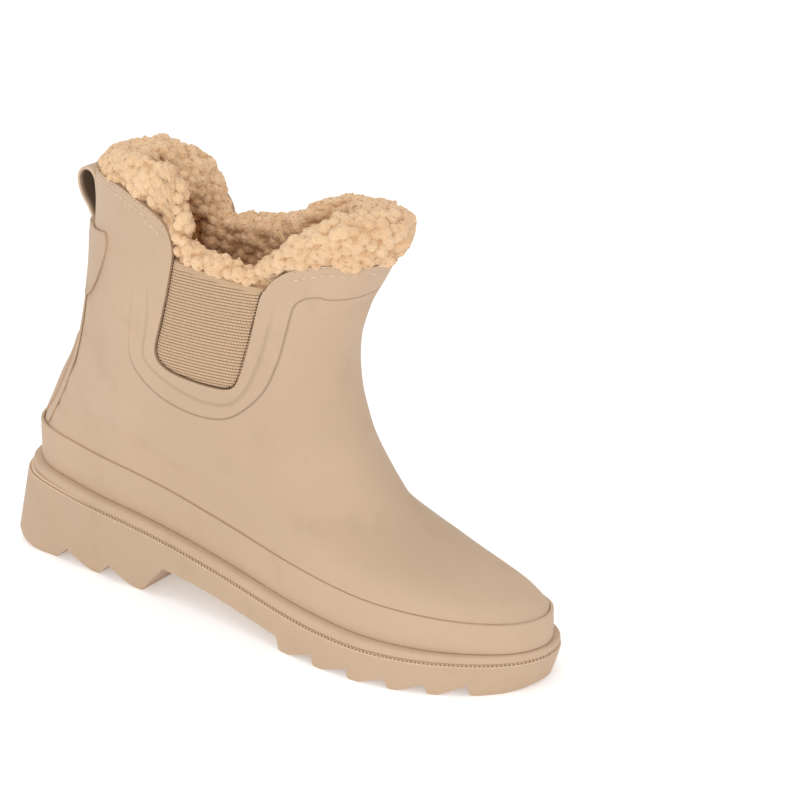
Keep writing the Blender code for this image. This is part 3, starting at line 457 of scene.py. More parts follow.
# ---------------------------------------------------------------- mesh helpers
def to_world(points):
    """The boot's own millimetres as metres in the frame."""
    return (np.asarray(points, float) - ORIGIN) * MM


def from_world(mesh):
    """Points of a mesh in the boot's own millimetres."""
    points = np.empty(len(mesh.vertices) * 3)
    mesh.vertices.foreach_get("co", points)
    return points.reshape(-1, 3) / MM + ORIGIN


def piece(name, points, faces, finish, crease=40.0):
    """Piece that rides with the boot, smooth but for edges sharper than the crease angle."""
    mesh = bpy.data.meshes.new(name)
    mesh.from_pydata(to_world(points).tolist(), [], faces)
    bm = bmesh.new()
    bm.from_mesh(mesh)
    bmesh.ops.recalc_face_normals(bm, faces=bm.faces)
    bm.to_mesh(mesh)
    bm.free()
    mesh.shade_smooth()
    if crease:
        mesh.set_sharp_from_angle(angle=math.radians(crease))
    made = bpy.data.objects.new(name, mesh)
    bpy.context.collection.objects.link(made)
    mesh.materials.append(finish)
    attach(made, "root")
    return made


def stands_for(made, node_name):
    """Take the place of one CAD node, which is hidden."""
    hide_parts(node_name)


def ring_faces(rows, columns, closed):
    """Faces between rows that each run round, the last row joined to the first if closed."""
    faces = []
    last = rows if closed else rows - 1
    for r in range(last):
        below = r * columns
        above = ((r + 1) % rows) * columns
        for c in range(columns):
            d = (c + 1) % columns
            faces.append((below + c, below + d, above + d, above + c))
    return faces


def cap_faces(first, columns):
    """Faces across one row that runs round, from its lateral to its medial points."""
    half = columns // 2
    faces = [(first, first + 1, first + columns - 1)]
    for c in range(1, half - 1):
        faces.append((first + c, first + c + 1, first + columns - c - 1, first + columns - c))
    faces.append((first + half - 1, first + half, first + half + 1))
    return faces


def tube(name, rows, finish, crease=40.0):
    """Closed ring whose rows run round its section."""
    return piece(name, np.concatenate(rows), ring_faces(len(rows), len(rows[0]), True), finish,
                 crease)


def capped(name, rows, finish, crease):
    """Solid whose rows run upward, flat across its first and its last row."""
    count = len(rows[0])
    faces = ring_faces(len(rows), count, False)
    faces += cap_faces(0, count) + cap_faces((len(rows) - 1) * count, count)
    return piece(name, np.concatenate(rows), faces, finish, crease)


def slab_faces(rows, columns):
    """Faces of two grids, one behind the other, closed round their edge."""
    size = rows * columns
    faces = []
    for r in range(rows - 1):
        for c in range(columns - 1):
            a = r * columns + c
            faces.append((a, a + 1, a + columns + 1, a + columns))
            faces.append((a + size, a + columns + size, a + columns + 1 + size, a + 1 + size))
    edge = [(0, c) for c in range(columns)] + [(r, columns - 1) for r in range(1, rows)]
    edge += [(rows - 1, c) for c in range(columns - 2, -1, -1)]
    edge += [(r, 0) for r in range(rows - 2, 0, -1)]
    for k, (r, c) in enumerate(edge):
        s, d = edge[(k + 1) % len(edge)]
        a = r * columns + c
        b = s * columns + d
        faces.append((a, a + size, b + size, b))
    return faces


def slab(name, outer, inner, finish, crease):
    """Panel between an outer and an inner grid of points."""
    points = np.concatenate([np.asarray(outer).reshape(-1, 3), np.asarray(inner).reshape(-1, 3)])
    return piece(name, points, slab_faces(len(outer), len(outer[0])), finish, crease)


def apply(target, kind, **settings):
    """Add a modifier with its settings and apply it."""
    bpy.ops.object.select_all(action="DESELECT")
    target.select_set(True)
    bpy.context.view_layer.objects.active = target
    modifier = target.modifiers.new(kind.lower(), kind)
    for key, value in settings.items():
        setattr(modifier, key, value)
    bpy.ops.object.modifier_apply(modifier=modifier.name)


def carve(target, line, low_y, high_y, finish=None):
    """Cut a side-view shape out of a piece between two Y, the cut faces in their own finish."""
    count = len(line)
    points = [(x, y, z) for y in (low_y, high_y) for x, z in line]
    faces = [tuple(range(count)), tuple(range(2 * count - 1, count - 1, -1))]
    for i in range(count):
        j = (i + 1) % count
        faces.append((i, i + count, j + count, j))
    cutter = piece("cutter", points, faces, finish or target.data.materials[0])
    apply(target, "BOOLEAN", operation="DIFFERENCE", solver="EXACT", object=cutter,
          material_mode="TRANSFER")
    bpy.data.objects.remove(cutter, do_unlink=True)


def resmooth(target, crease):
    """Smooth shading but for edges sharper than the crease angle."""
    target.data.shade_smooth()
    target.data.set_sharp_from_angle(angle=math.radians(crease))


def store(target, name, values):
    """Number at each vertex, read by the finishes."""
    layer = target.data.attributes.new(name, "FLOAT", "POINT")
    layer.data.foreach_set("value", np.asarray(values, np.float32))


def soften(target, width):
    """Round the sharp edges of an overlay or a strap."""
    apply(target, "BEVEL", width=width * MM, segments=2, limit_method="ANGLE",
          angle_limit=math.radians(50.0))
    resmooth(target, 45.0)


def small_shape(add, stretch=(1.0, 1.0, 1.0), bevel=0.0, **settings):
    """Points and faces of a small primitive, resized and bevelled in edit mode, to be copied."""
    bpy.ops.object.select_all(action="DESELECT")
    add(**settings)
    made = bpy.context.object
    bpy.ops.object.mode_set(mode="EDIT")
    bpy.ops.mesh.select_all(action="SELECT")
    bpy.ops.transform.resize(value=stretch)
    if bevel:
        bpy.ops.mesh.bevel(offset=bevel, segments=1)
    bpy.ops.object.mode_set(mode="OBJECT")
    shape = np.array([tuple(v.co) for v in made.data.vertices])
    pattern = [tuple(p.vertices) for p in made.data.polygons]
    bpy.data.objects.remove(made, do_unlink=True)
    return shape, pattern


def copies(name, placed, pattern, finish, crease=0.0):
    """One piece of many copies of a small shape, each with its own points."""
    size = len(placed[0])
    faces = [tuple(i + k * size for i in face) for k in range(len(placed)) for face in pattern]
    return piece(name, np.concatenate(placed), faces, finish, crease)


# ---------------------------------------------------------------- finishes
RUBBER_COLOUR = (0.528, 0.378, 0.256, 1.0)
RUBBER_LIGHT = (0.56, 0.402, 0.275, 1.0)
RUBBER_SHADE = (0.468, 0.332, 0.222, 1.0)
# Painted shadow line at the foot of the moulded border steps.
STEP_SHADOW_COLOUR = (0.26, 0.165, 0.10, 1.0)
# Painted highlight on the sole's thin lip under the bead.
LIP_HIGHLIGHT_COLOUR = (0.80, 0.61, 0.43, 1.0)
# Painted shade on the strap's folded-in side, and a painted highlight along its side edges.
STRAP_INSIDE_SHADE = (0.12, 0.075, 0.045, 1.0)
STRAP_EDGE_HIGHLIGHT = (0.72, 0.55, 0.39, 1.0)
# Cut faces of the shell, darker than its rubber: painted shade along the collar's and the gores'
# edges.
CUT_SHADE_TONES = (0.40, 0.27, 0.17, 1.0), (0.46, 0.315, 0.20, 1.0)
THREAD_TONES = (0.78, 0.62, 0.45, 1.0), (0.66, 0.5, 0.34, 1.0)
# Near-black beads: painted shade of the needle holes.
HOLE_SHADE_TONES = (0.045, 0.022, 0.012, 1.0), (0.09, 0.045, 0.025, 1.0)
PILE_PALE = (0.80, 0.52, 0.295, 1.0)
PILE_PALER = (0.86, 0.59, 0.352, 1.0)
# Painted shade between the lumps of the pile.
PILE_BETWEEN_SHADE = (0.70, 0.42, 0.215, 1.0)
PILE_FUZZ = (0.70, 0.44, 0.235, 1.0)
# Painted shade down inside the boot: the pile's crevices and its lumps there.
PILE_CREVICE_SHADE = (0.24, 0.085, 0.025, 1.0)
PILE_INSIDE_SHADED = (0.93, 0.55, 0.25, 1.0)
FURROW_SHADE = (0.25, 0.15, 0.08, 1.0)
RIB_YARN = (0.66, 0.465, 0.305, 1.0)
CROSS_YARN = (0.38, 0.24, 0.135, 1.0)
YARN_FIBRE = (0.76, 0.57, 0.39, 1.0)
BAND_YARN = (0.60, 0.415, 0.265, 1.0)
BAND_LINE = (0.46, 0.30, 0.175, 1.0)
GRAIN = 0.12 * MM
RIB_PITCH = 1.5


def group(name, inputs, outputs):
    """Empty shader group: inputs by name, kind and value, outputs by name and kind."""
    tree = bpy.data.node_groups.new(name, "ShaderNodeTree")
    for label, kind, value in inputs:
        socket = tree.interface.new_socket(label, in_out="INPUT", socket_type=kind)
        socket.default_value = value
    for label, kind in outputs:
        tree.interface.new_socket(label, in_out="OUTPUT", socket_type=kind)
    start = tree.nodes.new("NodeGroupInput")
    end = tree.nodes.new("NodeGroupOutput")
    return tree, start, end


def wire(tree, a, b):
    tree.links.new(a, b)


def node(tree, kind, **settings):
    """Shader node, its settings given by the names of its sockets or of its properties."""
    made = tree.nodes.new(kind)
    for key, value in settings.items():
        if key in made.inputs.keys():
            made.inputs[key].default_value = value
        else:
            setattr(made, key, value)
    return made


def feed(tree, socket, value):
    """Set a socket to a plain value, or wire another node's output into it."""
    if isinstance(value, (int, float, tuple)):
        socket.default_value = value
    else:
        wire(tree, value, socket)


def maths(tree, operation, *values):
    """Output of a maths node, each value a number or another node's output."""
    made = node(tree, "ShaderNodeMath", operation=operation)
    for socket, value in zip(made.inputs, values):
        feed(tree, socket, value)
    return made.outputs[0]


def times(tree, a, b):
    return maths(tree, "MULTIPLY", a, b)


def plus(tree, a, b):
    return maths(tree, "ADD", a, b)


def ramp(tree, value, low, high, start=0.0, end=1.0):
    """Value carried from one range to another, smoothly, and held beyond its ends."""
    made = tree.nodes.new("ShaderNodeMapRange")
    made.interpolation_type = "SMOOTHSTEP"
    wire(tree, value, made.inputs["Value"])
    made.inputs["From Min"].default_value = low
    made.inputs["From Max"].default_value = high
    made.inputs["To Min"].default_value = start
    made.inputs["To Max"].default_value = end
    return made.outputs["Result"]


def blend(tree, share, a, b):
    """Colour between two colours."""
    made = node(tree, "ShaderNodeMix", data_type="RGBA")
    for label, value in (("Factor", share), ("A", a), ("B", b)):
        feed(tree, made.inputs[label], value)
    return [out for out in made.outputs if out.type == "RGBA"][0]


def texture(tree, kind, **settings):
    """Texture on the boot's own coordinates."""
    made = node(tree, kind, **settings)
    place = node(tree, "ShaderNodeTexCoord")
    wire(tree, place.outputs["Object"], made.inputs["Vector"])
    return made


def noise(tree, scale, detail, **settings):
    """Output of a noise texture on the boot's own coordinates."""
    return texture(tree, "ShaderNodeTexNoise", Scale=scale, Detail=detail,
                   **settings).outputs["Fac"]


def mottle_group():
    """Soft uneven tint of moulded rubber and a fine matte grain."""
    tree, start, end = group("rubber_mottle", [
        ("Colour", "NodeSocketColor", RUBBER_COLOUR), ("Light", "NodeSocketColor", RUBBER_LIGHT),
        ("Shade", "NodeSocketColor", RUBBER_SHADE)],
        [("Colour", "NodeSocketColor"), ("Roughness", "NodeSocketFloat"),
         ("Height", "NodeSocketFloat")])
    broad = noise(tree, 14.0, 2.0, Roughness=0.5)
    cloud = noise(tree, 55.0, 3.0, Roughness=0.55)
    fine = noise(tree, 900.0, 2.0, Roughness=0.6)
    specks = noise(tree, 2600.0, 1.0, Roughness=0.5)
    lit = blend(tree, ramp(tree, broad, 0.35, 0.68), start.outputs["Colour"],
                start.outputs["Light"])
    shaded = blend(tree, ramp(tree, cloud, 0.50, 0.80, 0.0, 0.45), lit, start.outputs["Shade"])
    speckled = blend(tree, ramp(tree, fine, 0.52, 0.74, 0.0, 0.16), shaded,
                     start.outputs["Shade"])
    wire(tree, speckled, end.inputs["Colour"])
    wire(tree, ramp(tree, cloud, 0.3, 0.7, 0.50, 0.64), end.inputs["Roughness"])
    wire(tree, plus(tree, times(tree, fine, 0.7), times(tree, specks, 0.3)),
         end.inputs["Height"])
    return tree


def step_group():
    """Moulded step from a distance in millimetres: height, and a thin shadow line at its foot."""
    tree, start, end = group("moulded_step", [
        ("Distance", "NodeSocketFloat", 0.0), ("Width", "NodeSocketFloat", 1.0),
        ("Fade", "NodeSocketFloat", 1.0)],
        [("Height", "NodeSocketFloat"), ("Line", "NodeSocketFloat")])
    share = maths(tree, "DIVIDE", start.outputs["Distance"], start.outputs["Width"])
    up = ramp(tree, share, -0.5, 0.5)
    wire(tree, times(tree, up, start.outputs["Fade"]), end.inputs["Height"])
    far = maths(tree, "ABSOLUTE", plus(tree, share, 0.35))
    near = ramp(tree, far, 0.0, 0.55, 1.0, 0.0)
    wire(tree, times(tree, near, start.outputs["Fade"]), end.inputs["Line"])
    return tree


def use(tree, shared, **values):
    """Place a shared group in a material with its own values."""
    made = tree.nodes.new("ShaderNodeGroup")
    made.node_tree = shared
    for key, value in values.items():
        feed(tree, made.inputs[key], value)
    return made.outputs


def new_finish(name, roughness=0.5):
    """Matte material: itself, its tree and its shader."""
    made = bpy.data.materials.new(name)
    made.use_nodes = True
    tree = made.node_tree
    shader = tree.nodes["Principled BSDF"]
    shader.inputs["Specular IOR Level"].default_value = 0.22
    shader.inputs["Roughness"].default_value = roughness
    return made, tree, shader


def field(tree, name):
    """Number that a piece stores at each of its vertices."""
    return node(tree, "ShaderNodeAttribute", attribute_name=name).outputs["Fac"]


def bump(tree, shader, height, distance, strength=1.0):
    """Fine relief from a height, its distance in metres."""
    made = node(tree, "ShaderNodeBump", Strength=strength, Distance=distance)
    wire(tree, height, made.inputs["Height"])
    wire(tree, made.outputs["Normal"], shader.inputs["Normal"])


def rubber_base(tree, shader, mottle, tint=1.0):
    """Outputs of the rubber's mottle, a little darker where the tint says so."""
    colours = {label: tuple(c * tint for c in colour[:3]) + (1.0,) for label, colour in
               (("Colour", RUBBER_COLOUR), ("Light", RUBBER_LIGHT), ("Shade", RUBBER_SHADE))}
    base = use(tree, mottle, **colours)
    wire(tree, base["Roughness"], shader.inputs["Roughness"])
    return base


def rubber_finish(name, mottle, tint=1.0, lip=False):
    """Matte moulded rubber, with a painted highlight on its thin lip if it has one."""
    made, tree, shader = new_finish(name)
    base = rubber_base(tree, shader, mottle, tint)
    colour = base["Colour"]
    if lip:
        # Painted highlight: the lip's top is paler where light would catch it.
        colour = blend(tree, times(tree, field(tree, "lip"), 0.75), colour, LIP_HIGHLIGHT_COLOUR)
    wire(tree, colour, shader.inputs["Base Color"])
    bump(tree, shader, base["Height"], GRAIN, 0.5)
    return made


def shell_finish(mottle, step):
    """Rubber of the upper with the moulded borders round its gores, a painted shadow line at the
    foot of each border step, and its seam at the collar.
    """
    made, tree, shader = new_finish("upper_rubber")
    base = rubber_base(tree, shader, mottle)
    outer = use(tree, step, Distance=field(tree, "border_outer"), Width=1.1,
                Fade=field(tree, "border_fade"))
    inner = use(tree, step, Distance=field(tree, "border_inner"), Width=2.2,
                Fade=field(tree, "inner_fade"))
    # Painted shadow lines at the foot of the outer and the inner border steps.
    outer_shadowed = blend(tree, times(tree, outer["Line"], 0.5), base["Colour"], STEP_SHADOW_COLOUR)
    inner_shadowed = blend(tree, times(tree, inner["Line"], 0.22), outer_shadowed, STEP_SHADOW_COLOUR)
    wire(tree, inner_shadowed, shader.inputs["Base Color"])
    pucker = ramp(tree, noise(tree, 330.0, 2.0), 0.35, 0.65, 0.38, -0.1)
    steps = plus(tree, times(tree, outer["Height"], 0.75), times(tree, inner["Height"], 0.7))
    seamed = maths(tree, "SUBTRACT", steps, times(tree, field(tree, "seam"), pucker))
    bump(tree, shader, plus(tree, seamed, times(tree, base["Height"], 0.06)), MM)
    return made


def strap_finish(mottle):
    """Rubber strap: a painted highlight along its side edges, painted shade on the side folded in.
    """
    made, tree, shader = new_finish("strap_rubber")
    base = rubber_base(tree, shader, mottle)
    body = blend(tree, times(tree, field(tree, "inside"), 0.9), base["Colour"], STRAP_INSIDE_SHADE)
    body = blend(tree, times(tree, field(tree, "edge_highlight"), 0.7), body, STRAP_EDGE_HIGHLIGHT)
    wire(tree, body, shader.inputs["Base Color"])
    bump(tree, shader, base["Height"], GRAIN, 0.5)
    return made


def pile_finish():
    """Curly pile: pale curls, painted shade between them, and deeper painted shade down inside."""
    made, tree, shader = new_finish("curly_pile", 1.0)
    fuzz = noise(tree, 1150.0, 3.0, Roughness=0.65, Distortion=1.2)
    curl = texture(tree, "ShaderNodeTexVoronoi", Scale=820.0, feature="SMOOTH_F1")
    patch = noise(tree, 70.0, 2.0)
    top = field(tree, "curl")
    pale = blend(tree, ramp(tree, patch, 0.35, 0.65), PILE_PALE, PILE_PALER)
    # Painted shade between the lumps, from the stored curl share.
    body = blend(tree, ramp(tree, top, 0.0, 0.55), PILE_BETWEEN_SHADE, pale)
    body = blend(tree, ramp(tree, fuzz, 0.45, 0.7, 0.0, 0.38), body, PILE_FUZZ)
    # Painted shade down inside the boot, deepest in the crevices.
    inside = blend(tree, ramp(tree, top, 0.1, 0.8), PILE_CREVICE_SHADE, PILE_INSIDE_SHADED)
    body = blend(tree, field(tree, "deep"), body, inside)
    wire(tree, body, shader.inputs["Base Color"])
    shader.inputs["Sheen Weight"].default_value = 0.25
    shader.inputs["Sheen Roughness"].default_value = 0.6
    height = plus(tree, times(tree, fuzz, 0.5), times(tree, curl.outputs["Distance"], -0.8))
    bump(tree, shader, height, 0.9 * MM, 0.9)
    return made


def elastic_finish():
    """Ribbed webbing: pale yarn over the ribs, painted shade in the furrows, cross yarns in fine
    slants.
    """
    made, tree, shader = new_finish("rib_elastic", 0.9)
    up = field(tree, "up")
    slant = plus(tree, times(tree, field(tree, "along"), 5.2),
                 times(tree, maths(tree, "PINGPONG", up, RIB_PITCH), 3.0))
    yarn = maths(tree, "MULTIPLY_ADD", maths(tree, "SINE", slant), 0.5, 0.5)
    fibre = noise(tree, 2200.0, 2.0)
    # Furrows between the ribs darkened: painted shade.
    base = blend(tree, ramp(tree, field(tree, "rib"), 0.05, 0.7), FURROW_SHADE, RIB_YARN)
    base = blend(tree, times(tree, yarn, 0.6), base, CROSS_YARN)
    base = blend(tree, ramp(tree, fibre, 0.48, 0.75, 0.0, 0.4), base, YARN_FIBRE)
    lines = maths(tree, "MULTIPLY_ADD", maths(tree, "COSINE", times(tree, up, 6.3)), 0.5, 0.5)
    plain = blend(tree, lines, BAND_YARN, BAND_LINE)
    wire(tree, blend(tree, field(tree, "band"), base, plain), shader.inputs["Base Color"])
    shader.inputs["Sheen Weight"].default_value = 0.1
    bump(tree, shader, plus(tree, times(tree, yarn, 0.7), times(tree, fibre, 0.5)), 0.22 * MM,
         0.8)
    return made


def plain_finish(name, colours, scale, roughness):
    """Small trim: two tones in fine noise."""
    made, tree, shader = new_finish(name, roughness)
    tone = noise(tree, scale, 2.0)
    wire(tree, blend(tree, ramp(tree, tone, 0.4, 0.65), *colours), shader.inputs["Base Color"])
    bump(tree, shader, tone, 0.1 * MM, 0.5)
    return made


# ---------------------------------------------------------------- sole
COLUMNS = np.arange(0, DENSE, 2)
WALL_TOP = 1.4
WALL_HEIGHTS = (-4.0, 3.15, EDGE_HEIGHT, 9.0, 14.0, COLLAR_HEIGHT)
CUT_HALF = 70.0
CUT_START = 30.0
TOOTH_SIZE = (0.8, 1.25, 1.6)
TOOTH_PITCH = 1.85
TOOTH_DEPTH = 0.9
SMALLEST_TOOTH = 0.15
RAND_FOOT = 6.75

# Sections as pairs of depth and height: inward from the outline and above the sole's rim, for the
# bead from its front (0) to its back (1), and for the rand from its foot (0) to its top (1).
LIP_SECTION = [(0.0, -0.35), (0.07, -0.08), (0.25, 0.0), (0.55, 0.0), (0.70, -0.12),
               (0.72, -0.4), (1.12, -0.4), (1.2, 1.3)]
BEAD_SECTION = [(0.22, 1.1), (0.12, 1.22), (0.05, 1.65), (0.01, 2.5), (0.0, 3.4), (0.02, 4.5),
                (0.06, 5.3), (0.13, 5.8), (0.25, 6.15), (0.45, 6.4), (0.75, 6.5), (1.0, 6.5),
                (1.0, 1.1)]
RAND_SECTION = [(-0.45, 0.0), (-0.62, 0.06), (-0.7, 0.25), (-0.68, 0.5), (-0.6, 0.75),
                (-0.52, 0.96), (-0.44, 0.985), (-0.25, 0.998), (0.1, 1.0), (0.9, 1.0),
                (0.9, 0.0)]


def underside():
    """Side line of the lugs, heel to toe."""
    line = list(HEEL_BACK)
    for before, lug in zip([None] + HEEL_LUGS, HEEL_LUGS):
        if before:
            line += [Point(before.notch + 1.0, before.notch_height),
                     Point(before.notch + 8.5, 2.4), Point(before.notch + 12.0, 0.9)]
        line += [Point(lug.flat, 0.0), Point(lug.tip, 0.0), Point(lug.notch, lug.notch_height)]
    line += ARCH
    for lug, ahead in zip(FOREFOOT_LUGS, FOREFOOT_LUGS[1:] + [None]):
        line += [Point(lug.tip - 0.8, lug.step), Point(lug.tip, 0.6), Point(lug.tip + 1.6, 0.0)]
        if ahead:
            line.append(Point(lug.tip + 0.25 * (ahead.tip - lug.tip), 0.0))
    return line + TOE_SPRING


def outward(table):
    """How far a table moves the outline out at each of its points."""
    return monotone(OUTLINE[:, 0], stations(table), [row.out for row in table])


def wall_row(height):
    """Row of the sole's wall at one height, flared and turned in at its foot."""
    rim = rim_height(OUTLINE[:, 0])
    height = np.minimum(height, rim - WALL_TOP)
    flare = outward(FLARE)
    turn = outward(EDGE_TURN) * np.maximum(1.0 - height / EDGE_HEIGHT, 0.0)
    plan = inset(OUTLINE, turn - flare * (1.0 - height / rim))
    return np.column_stack([plan, height])[COLUMNS]


def groove_lift(x):
    """The groove climbs a little toward the toe, where the bead gets thinner."""
    return smoothstep(x, 185.0, 255.0)


def rim_row(depth, height):
    """Row on top of the sole, in the groove and on its lip."""
    plan = inset(OUTLINE, depth)[COLUMNS]
    return np.column_stack([plan, rim_height(plan[:, 0]) + groove_lift(plan[:, 0]) + height])


def make_outsole(finish):
    """Moulded sole: a flared wall with a thin lip, its lugs and its channel cut from below."""
    rows = [wall_row(height) for height in WALL_HEIGHTS]
    rows += [rim_row(depth, height) for depth, height in LIP_SECTION]
    sole = capped("outsole_shell", rows, finish, 30.0)
    line = [(p.x, p.z) for p in underside()]
    below = [(line[-1][0] + 5.0, -20.0), (line[0][0] - 5.0, -20.0)]
    carve(sole, line + below, -CUT_HALF, CUT_HALF)
    channel = [(-CUT_START, -CUT_START), (-CUT_START, CHANNEL_HEIGHT),
               (CHANNEL_END, CHANNEL_HEIGHT), (CHANNEL_END, -CUT_START)]
    carve(sole, channel, -CHANNEL_HALF, CHANNEL_HALF)
    resmooth(sole, 26.0)
    x, _, z = from_world(sole.data).T
    # Mask of the painted highlight along the top of the sole's lip.
    store(sole, "lip", smoothstep(z - rim_height(x) - groove_lift(x), -0.3, -0.05))
    stands_for(sole, "outsole")


def make_teeth(finish):
    """Small upright teeth in the groove, one modelled and copied round the rim."""
    shape, pattern = small_shape(bpy.ops.mesh.primitive_cube_add, TOOTH_SIZE, 0.2, size=1.0)
    line = inset(OUTLINE, TOOTH_DEPTH)
    closed = np.vstack([line, line[:1]])
    length = travel(closed)
    count = int(length[-1] / TOOTH_PITCH)
    placed = []
    for k in range(count):
        place = (k + 0.5) * length[-1] / count
        x, y = (np.interp(place, length, closed[:, i]) for i in (0, 1))
        ahead = [np.interp(place + 0.5, length, closed[:, i]) for i in (0, 1)]
        along = np.array(ahead) - (x, y)
        along /= np.hypot(*along)
        size = float(smoothstep(x, 14.0, 60.0))
        if size < SMALLEST_TOOTH:
            continue
        middle = float(rim_height(np.array([x]))[0] + groove_lift(x)) - 0.75 + 0.95 * size
        placed.append(np.stack([x + along[0] * shape[:, 1] - along[1] * shape[:, 0],
                                y + along[1] * shape[:, 1] + along[0] * shape[:, 0],
                                middle + shape[:, 2] * size], 1))
    copies("groove_teeth", placed, pattern, finish, 60.0)


def make_welt(finish):
    """Rounded bead over the groove."""
    front = inset(OUTLINE, -outward(BEAD))
    back = inset(BASE, REBATE - GAP)
    rows = []
    for depth, height in BEAD_SECTION:
        plan = (front * (1.0 - depth) + back * depth)[COLUMNS]
        lift = groove_lift(plan[:, 0]) * (1.2 - 0.29 * height)
        rows.append(np.column_stack([plan, rim_height(plan[:, 0]) + height + lift]))
    stands_for(tube("welt_bead", rows, finish), "welt")


def make_rand(finish):
    """Plain band round the foot, its top edge softly rounded over a thin shadow line."""
    rows = []
    for depth, share in RAND_SECTION:
        plan = inset(BASE, depth)[COLUMNS]
        low = rim_height(plan[:, 0]) + RAND_FOOT - 0.7 * groove_lift(plan[:, 0])
        high = rand_height(plan[:, 0]) - GAP
        rows.append(np.column_stack([plan, low + (high - low) * share]))
    stands_for(tube("rand_band", rows, finish), "rand")


# ---------------------------------------------------------------- upper
SHELL_LEVELS = np.concatenate([np.linspace(33.2, 64.0, 22), np.linspace(66.0, 204.0, 56)])
OVER_COLLAR = [(270.0, 260.0), (0.0, 260.0)]
CUT_SIDE = 90.0
BORDER_REACH = 8.0
SEAM_BELOW = 4.6
SEAM_HALF = 0.9
STITCH_SIZE = (2.5, 0.62, 0.5)
STITCH_PITCH = 3.4
STITCH_LEAN = 0.22
STITCHES_REAR = (50.0, 108.0)
STITCHES_FRONT = (174.0, 200.0)


def crease_depth(points):
    """Sum of the soft troughs and ridges at each point."""
    depth = np.zeros(len(points))
    for crease in CREASES:
        facing = points[:, 1] < 0 if crease.side == "lateral" else points[:, 1] > 0
        length = math.hypot(crease.run_x, crease.run_z)
        x = points[:, 0] - crease.x
        z = points[:, 2] - crease.z
        along = (x * crease.run_x + z * crease.run_z) / length
        across = (x * crease.run_z - z * crease.run_x) / length
        stroke = np.exp(-(across / crease.width)**2) * np.exp(-(along / length)**4)
        depth += crease.depth * stroke * smoothstep(np.abs(points[:, 1]), 0.0, 10.0) * facing
    return depth


def foot_row(depth, height):
    """Row round the foot, inward from the wall's outline, its height from the station."""
    plan = inset(BASE, depth)[COLUMNS]
    return np.column_stack([plan, height(plan[:, 0])])


def make_shell(finish, cut_finish):
    """Two millimetre rubber shell, open at the collar, the gores and the sole."""
    def over_sole(x):
        return rim_height(x) + 1.5

    def under_rand(x):
        return rand_height(x) - 1.0

    outer = [foot_row(REBATE, over_sole), foot_row(REBATE, under_rand)]
    inner = [foot_row(REBATE + RUBBER, over_sole), foot_row(REBATE + RUBBER, under_rand)]
    for level in SHELL_LEVELS:
        here, normal = skin(level)
        here = here[COLUMNS]
        normal = normal[COLUMNS]
        bent = here - normal * crease_depth(here)[:, None]
        outer.append(bent)
        inner.append(bent - normal * RUBBER)
    shell = tube("upper_shell", outer + inner[::-1], finish, 50.0)
    line = smooth_line(COLLAR_LATERAL, 1.6)
    medial = on_side("medial", line)
    carve(shell, [tuple(p) for p in line] + OVER_COLLAR, -CUT_SIDE, 0.0, cut_finish)
    carve(shell, [tuple(p) for p in medial] + OVER_COLLAR, -0.01, CUT_SIDE, cut_finish)
    resmooth(shell, 45.0)
    mark_borders(shell, line)
    stands_for(shell, "upper")


def mark_borders(shell, collar):
    """Distances in millimetres from the moulded lines, for the finish."""
    points = from_world(shell.data)
    values = {name: np.zeros(len(points)) for name in
              ("border_outer", "border_fade", "border_inner", "inner_fade", "seam")}
    for side in ("lateral", "medial"):
        facing = points[:, 1] <= 0 if side == "lateral" else points[:, 1] > 0
        here = points[facing][:, [0, 2]]
        x = here[:, 0] - (MEDIAL_SHIFT if side == "medial" else 0.0)
        z = here[:, 1]
        for name, line in (("border_outer", BORDER_OUTER), ("border_inner", BORDER_INNER)):
            away = line_distance(here, on_side(side, smooth_line(line, 2.0)))
            values[name][facing] = np.clip(away, -BORDER_REACH, BORDER_REACH)
        front = smoothstep(x, 108.0, 120.0)
        low = 1.0 - smoothstep(z, 132.0, 168.0)
        rear = (1.0 - smoothstep(x, 92.0, 100.0)) * smoothstep(z, 112.0, 126.0)
        values["border_fade"][facing] = np.maximum(front, low) * (1.0 - 0.62 * rear)
        values["inner_fade"][facing] = 1.0 - smoothstep(z, 140.0, 165.0)
        edge = np.abs(line_distance(here, on_side(side, collar)))
        rear_seam = smoothstep(z, 174.0, 184.0)
        front_seam = smoothstep(x, 160.0, 168.0) * smoothstep(z, 166.0, 170.0)
        values["seam"][facing] = (np.exp(-((edge - SEAM_BELOW) / SEAM_HALF)**2)
                                  * np.maximum(rear_seam, front_seam))
    for name, value in values.items():
        store(shell, name, value)


def seam_places(side, rear, front, pitch):
    """Lateral stations behind and in front of the gore, each with this side's own station."""
    for x in [*np.arange(*rear, pitch), *np.arange(*front, pitch)]:
        yield x, float(x if side == "lateral" else medial_x(x))


